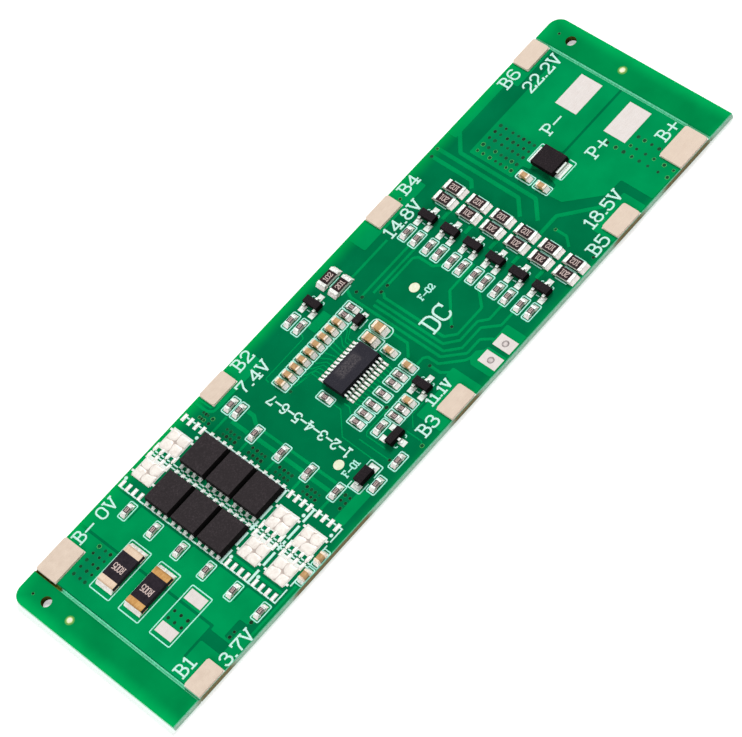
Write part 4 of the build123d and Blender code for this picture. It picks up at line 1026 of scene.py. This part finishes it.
# Leads. Tinned copper strip that comes out of the moulds and is soldered to the lands, with painted
# shade that darkens the knees where each lead slopes down.
tinned_lead, tree, skin, place = new_finish("tinned lead", metal=0.3, shine=0.4)
lead = tones(tree, drawn, place, (250, 255, 252), (236, 242, 234), 2.5)
# painted shade: the sloping knees of the leads are darker
knee_shade = window(tree, axes(tree, place)["Z"], 1.32, 1.5, 0.05)
knee_shade_tone = cloud(tree, place, (170, 152, 140), (104, 90, 82), 4.0)
colour_skin(tree, skin, blend_tones(tree, knee_shade, lead["Tone"], knee_shade_tone), lead, 0.006)
coat(tinned_lead, "controller_leads", "transistor_leads", "diode_leads", "mosfet_pins")

# Chip parts. Fired bodies, soldered down by their dipped and plated ends: resistors under a dark
# glaze, capacitors in bare brown ceramic.
simple_finish("plated chip end", frozen, (242, 247, 240), (192, 190, 186), 3.0, 0.02,
              ("channel_resistor_ends", "gate_resistor_ends", "load_resistor_ends",
               "sense_resistor_ends"), metal=0.4, shine=0.4)
simple_finish("warm plated chip end", frozen, (252, 234, 214), (222, 198, 176), 3.0, 0.02,
              ("medium_capacitor_ends", "small_capacitor_ends"), metal=0.2, shine=0.4)
simple_finish("capacitor ceramic", cloudy, (213, 172, 119), (175, 132, 85), 2.2, 0.015,
              ("small_capacitor_ceramics", "medium_capacitor_ceramics"), grit=0.6, rough=0.5,
              shine=0.3)
simple_finish("fired alumina", cloudy, (226, 222, 216), (196, 190, 184), 3.0, 0.01,
              ("load_resistor_ceramics",), grit=0.6, rough=0.6, shine=0.3)
simple_finish("resistor glaze", cloudy, (52, 36, 38), (34, 22, 24), 3.0, 0.01,
              ("load_resistor_glazes",), grit=0.7, rough=0.45, shine=0.08)
code_ink = simple_finish("code ink", cloudy, (238, 216, 208), (184, 160, 154), 4.0, 0.005,
                         grit=0.7, rough=0.6, shine=0.2)

GLAZED_FROM = 1.47
small_resistor, tree, skin, place = new_finish("small resistor body", shine=0.3, rough=0.5)
white_body = cloud(tree, place, (216, 206, 200), (184, 172, 166), 3.0)
dark_top = tones(tree, cloudy, place, (64, 48, 52), (30, 22, 28), 3.0, Grit=0.6)
glazed = calc(tree, "GREATER_THAN", axes(tree, place)["Z"], GLAZED_FROM)
colour_skin(tree, skin, blend_tones(tree, glazed, white_body, dark_top["Tone"]), dark_top, 0.01)
coat(small_resistor, *RESISTORS)


def code_boxes(word, chip, half_length, half_height):
    """A value code in the middle of a chip, along its length."""
    x, y, length, width, top = chip
    if length > width:
        return word, x - half_length, y - half_height, x + half_length, y + half_height
    return word, x - half_height, y - half_length, x + half_height, y + half_length, True


loads = sorted(middles("load_resistor_glazes"), key=lambda chip: (chip[1], chip[0]))
codes = [code_boxes("102" if (y > 13.5 if length > width else x > 26) else "201",
                    (x, y, length, width, top), 0.72, 0.42) for x, y, length, width, top in loads]
CODE_SINK, CODE_RISE = 0.004, 0.008
load_top = loads[0][4]
ink_words("load_resistor_codes", codes, code_ink, 0.105, 0.3, load_top - CODE_SINK,
          load_top + CODE_RISE, "glaze")
codes = [code_boxes("103", chip, 0.36, 0.2) for node in RESISTORS for chip in middles(node)]
small_top = middles(RESISTORS[0])[0][4]
ink_words("small_resistor_codes", codes, code_ink, 0.07, 0.12, small_top - CODE_SINK,
          small_top + 0.006, "glaze")

# Current shunts. A strip of resistance alloy in a black coat with its value printed across, held by
# wide folded end caps that are soldered to their lands; the lower one's caps are bare copper.
simple_finish("shunt coat", cloudy, (52, 45, 52), (34, 30, 36), 2.0, 0.02,
              ("shunt_covers", "shunt_elements"), grit=0.7, rough=0.5, shine=0.03)
shunt_x, shunt_top = (middles("shunt_covers")[0][k] for k in (0, 4))
for node, light, dark, fold_shade_tone in (
        ("shunt_1_ends", (244, 222, 198), (220, 190, 164), (176, 140, 106)),
        ("shunt_2_ends", (226, 180, 116), (190, 136, 74), (140, 92, 46))):
    cap, tree, skin, place = new_finish(node.replace("_", " "), metal=0.1, shine=0.1)
    wiped = tones(tree, drawn, place, light, dark, 1.4)
    # painted shade: each cap darkens where it folds down at its outer end
    along = calc(tree, "SUBTRACT", axes(tree, place)["X"], shunt_x)
    folded = remap(tree, calc(tree, "ABSOLUTE", along), 2.85, 3.2, 0.0, 0.6, smooth=True)
    colour_skin(tree, skin, blend_tones(tree, folded, wiped["Tone"], tint(*fold_shade_tone)), wiped, 0.02)
    coat(cap, node)
ink_words("shunt_values", [("R005", -46.8, y - 1.05, -45.8, y + 1.05, True) for y in (6.4, 0.5)],
          code_ink, 0.12, 0.25, shunt_top - CODE_SINK, shunt_top + CODE_RISE, "glaze")
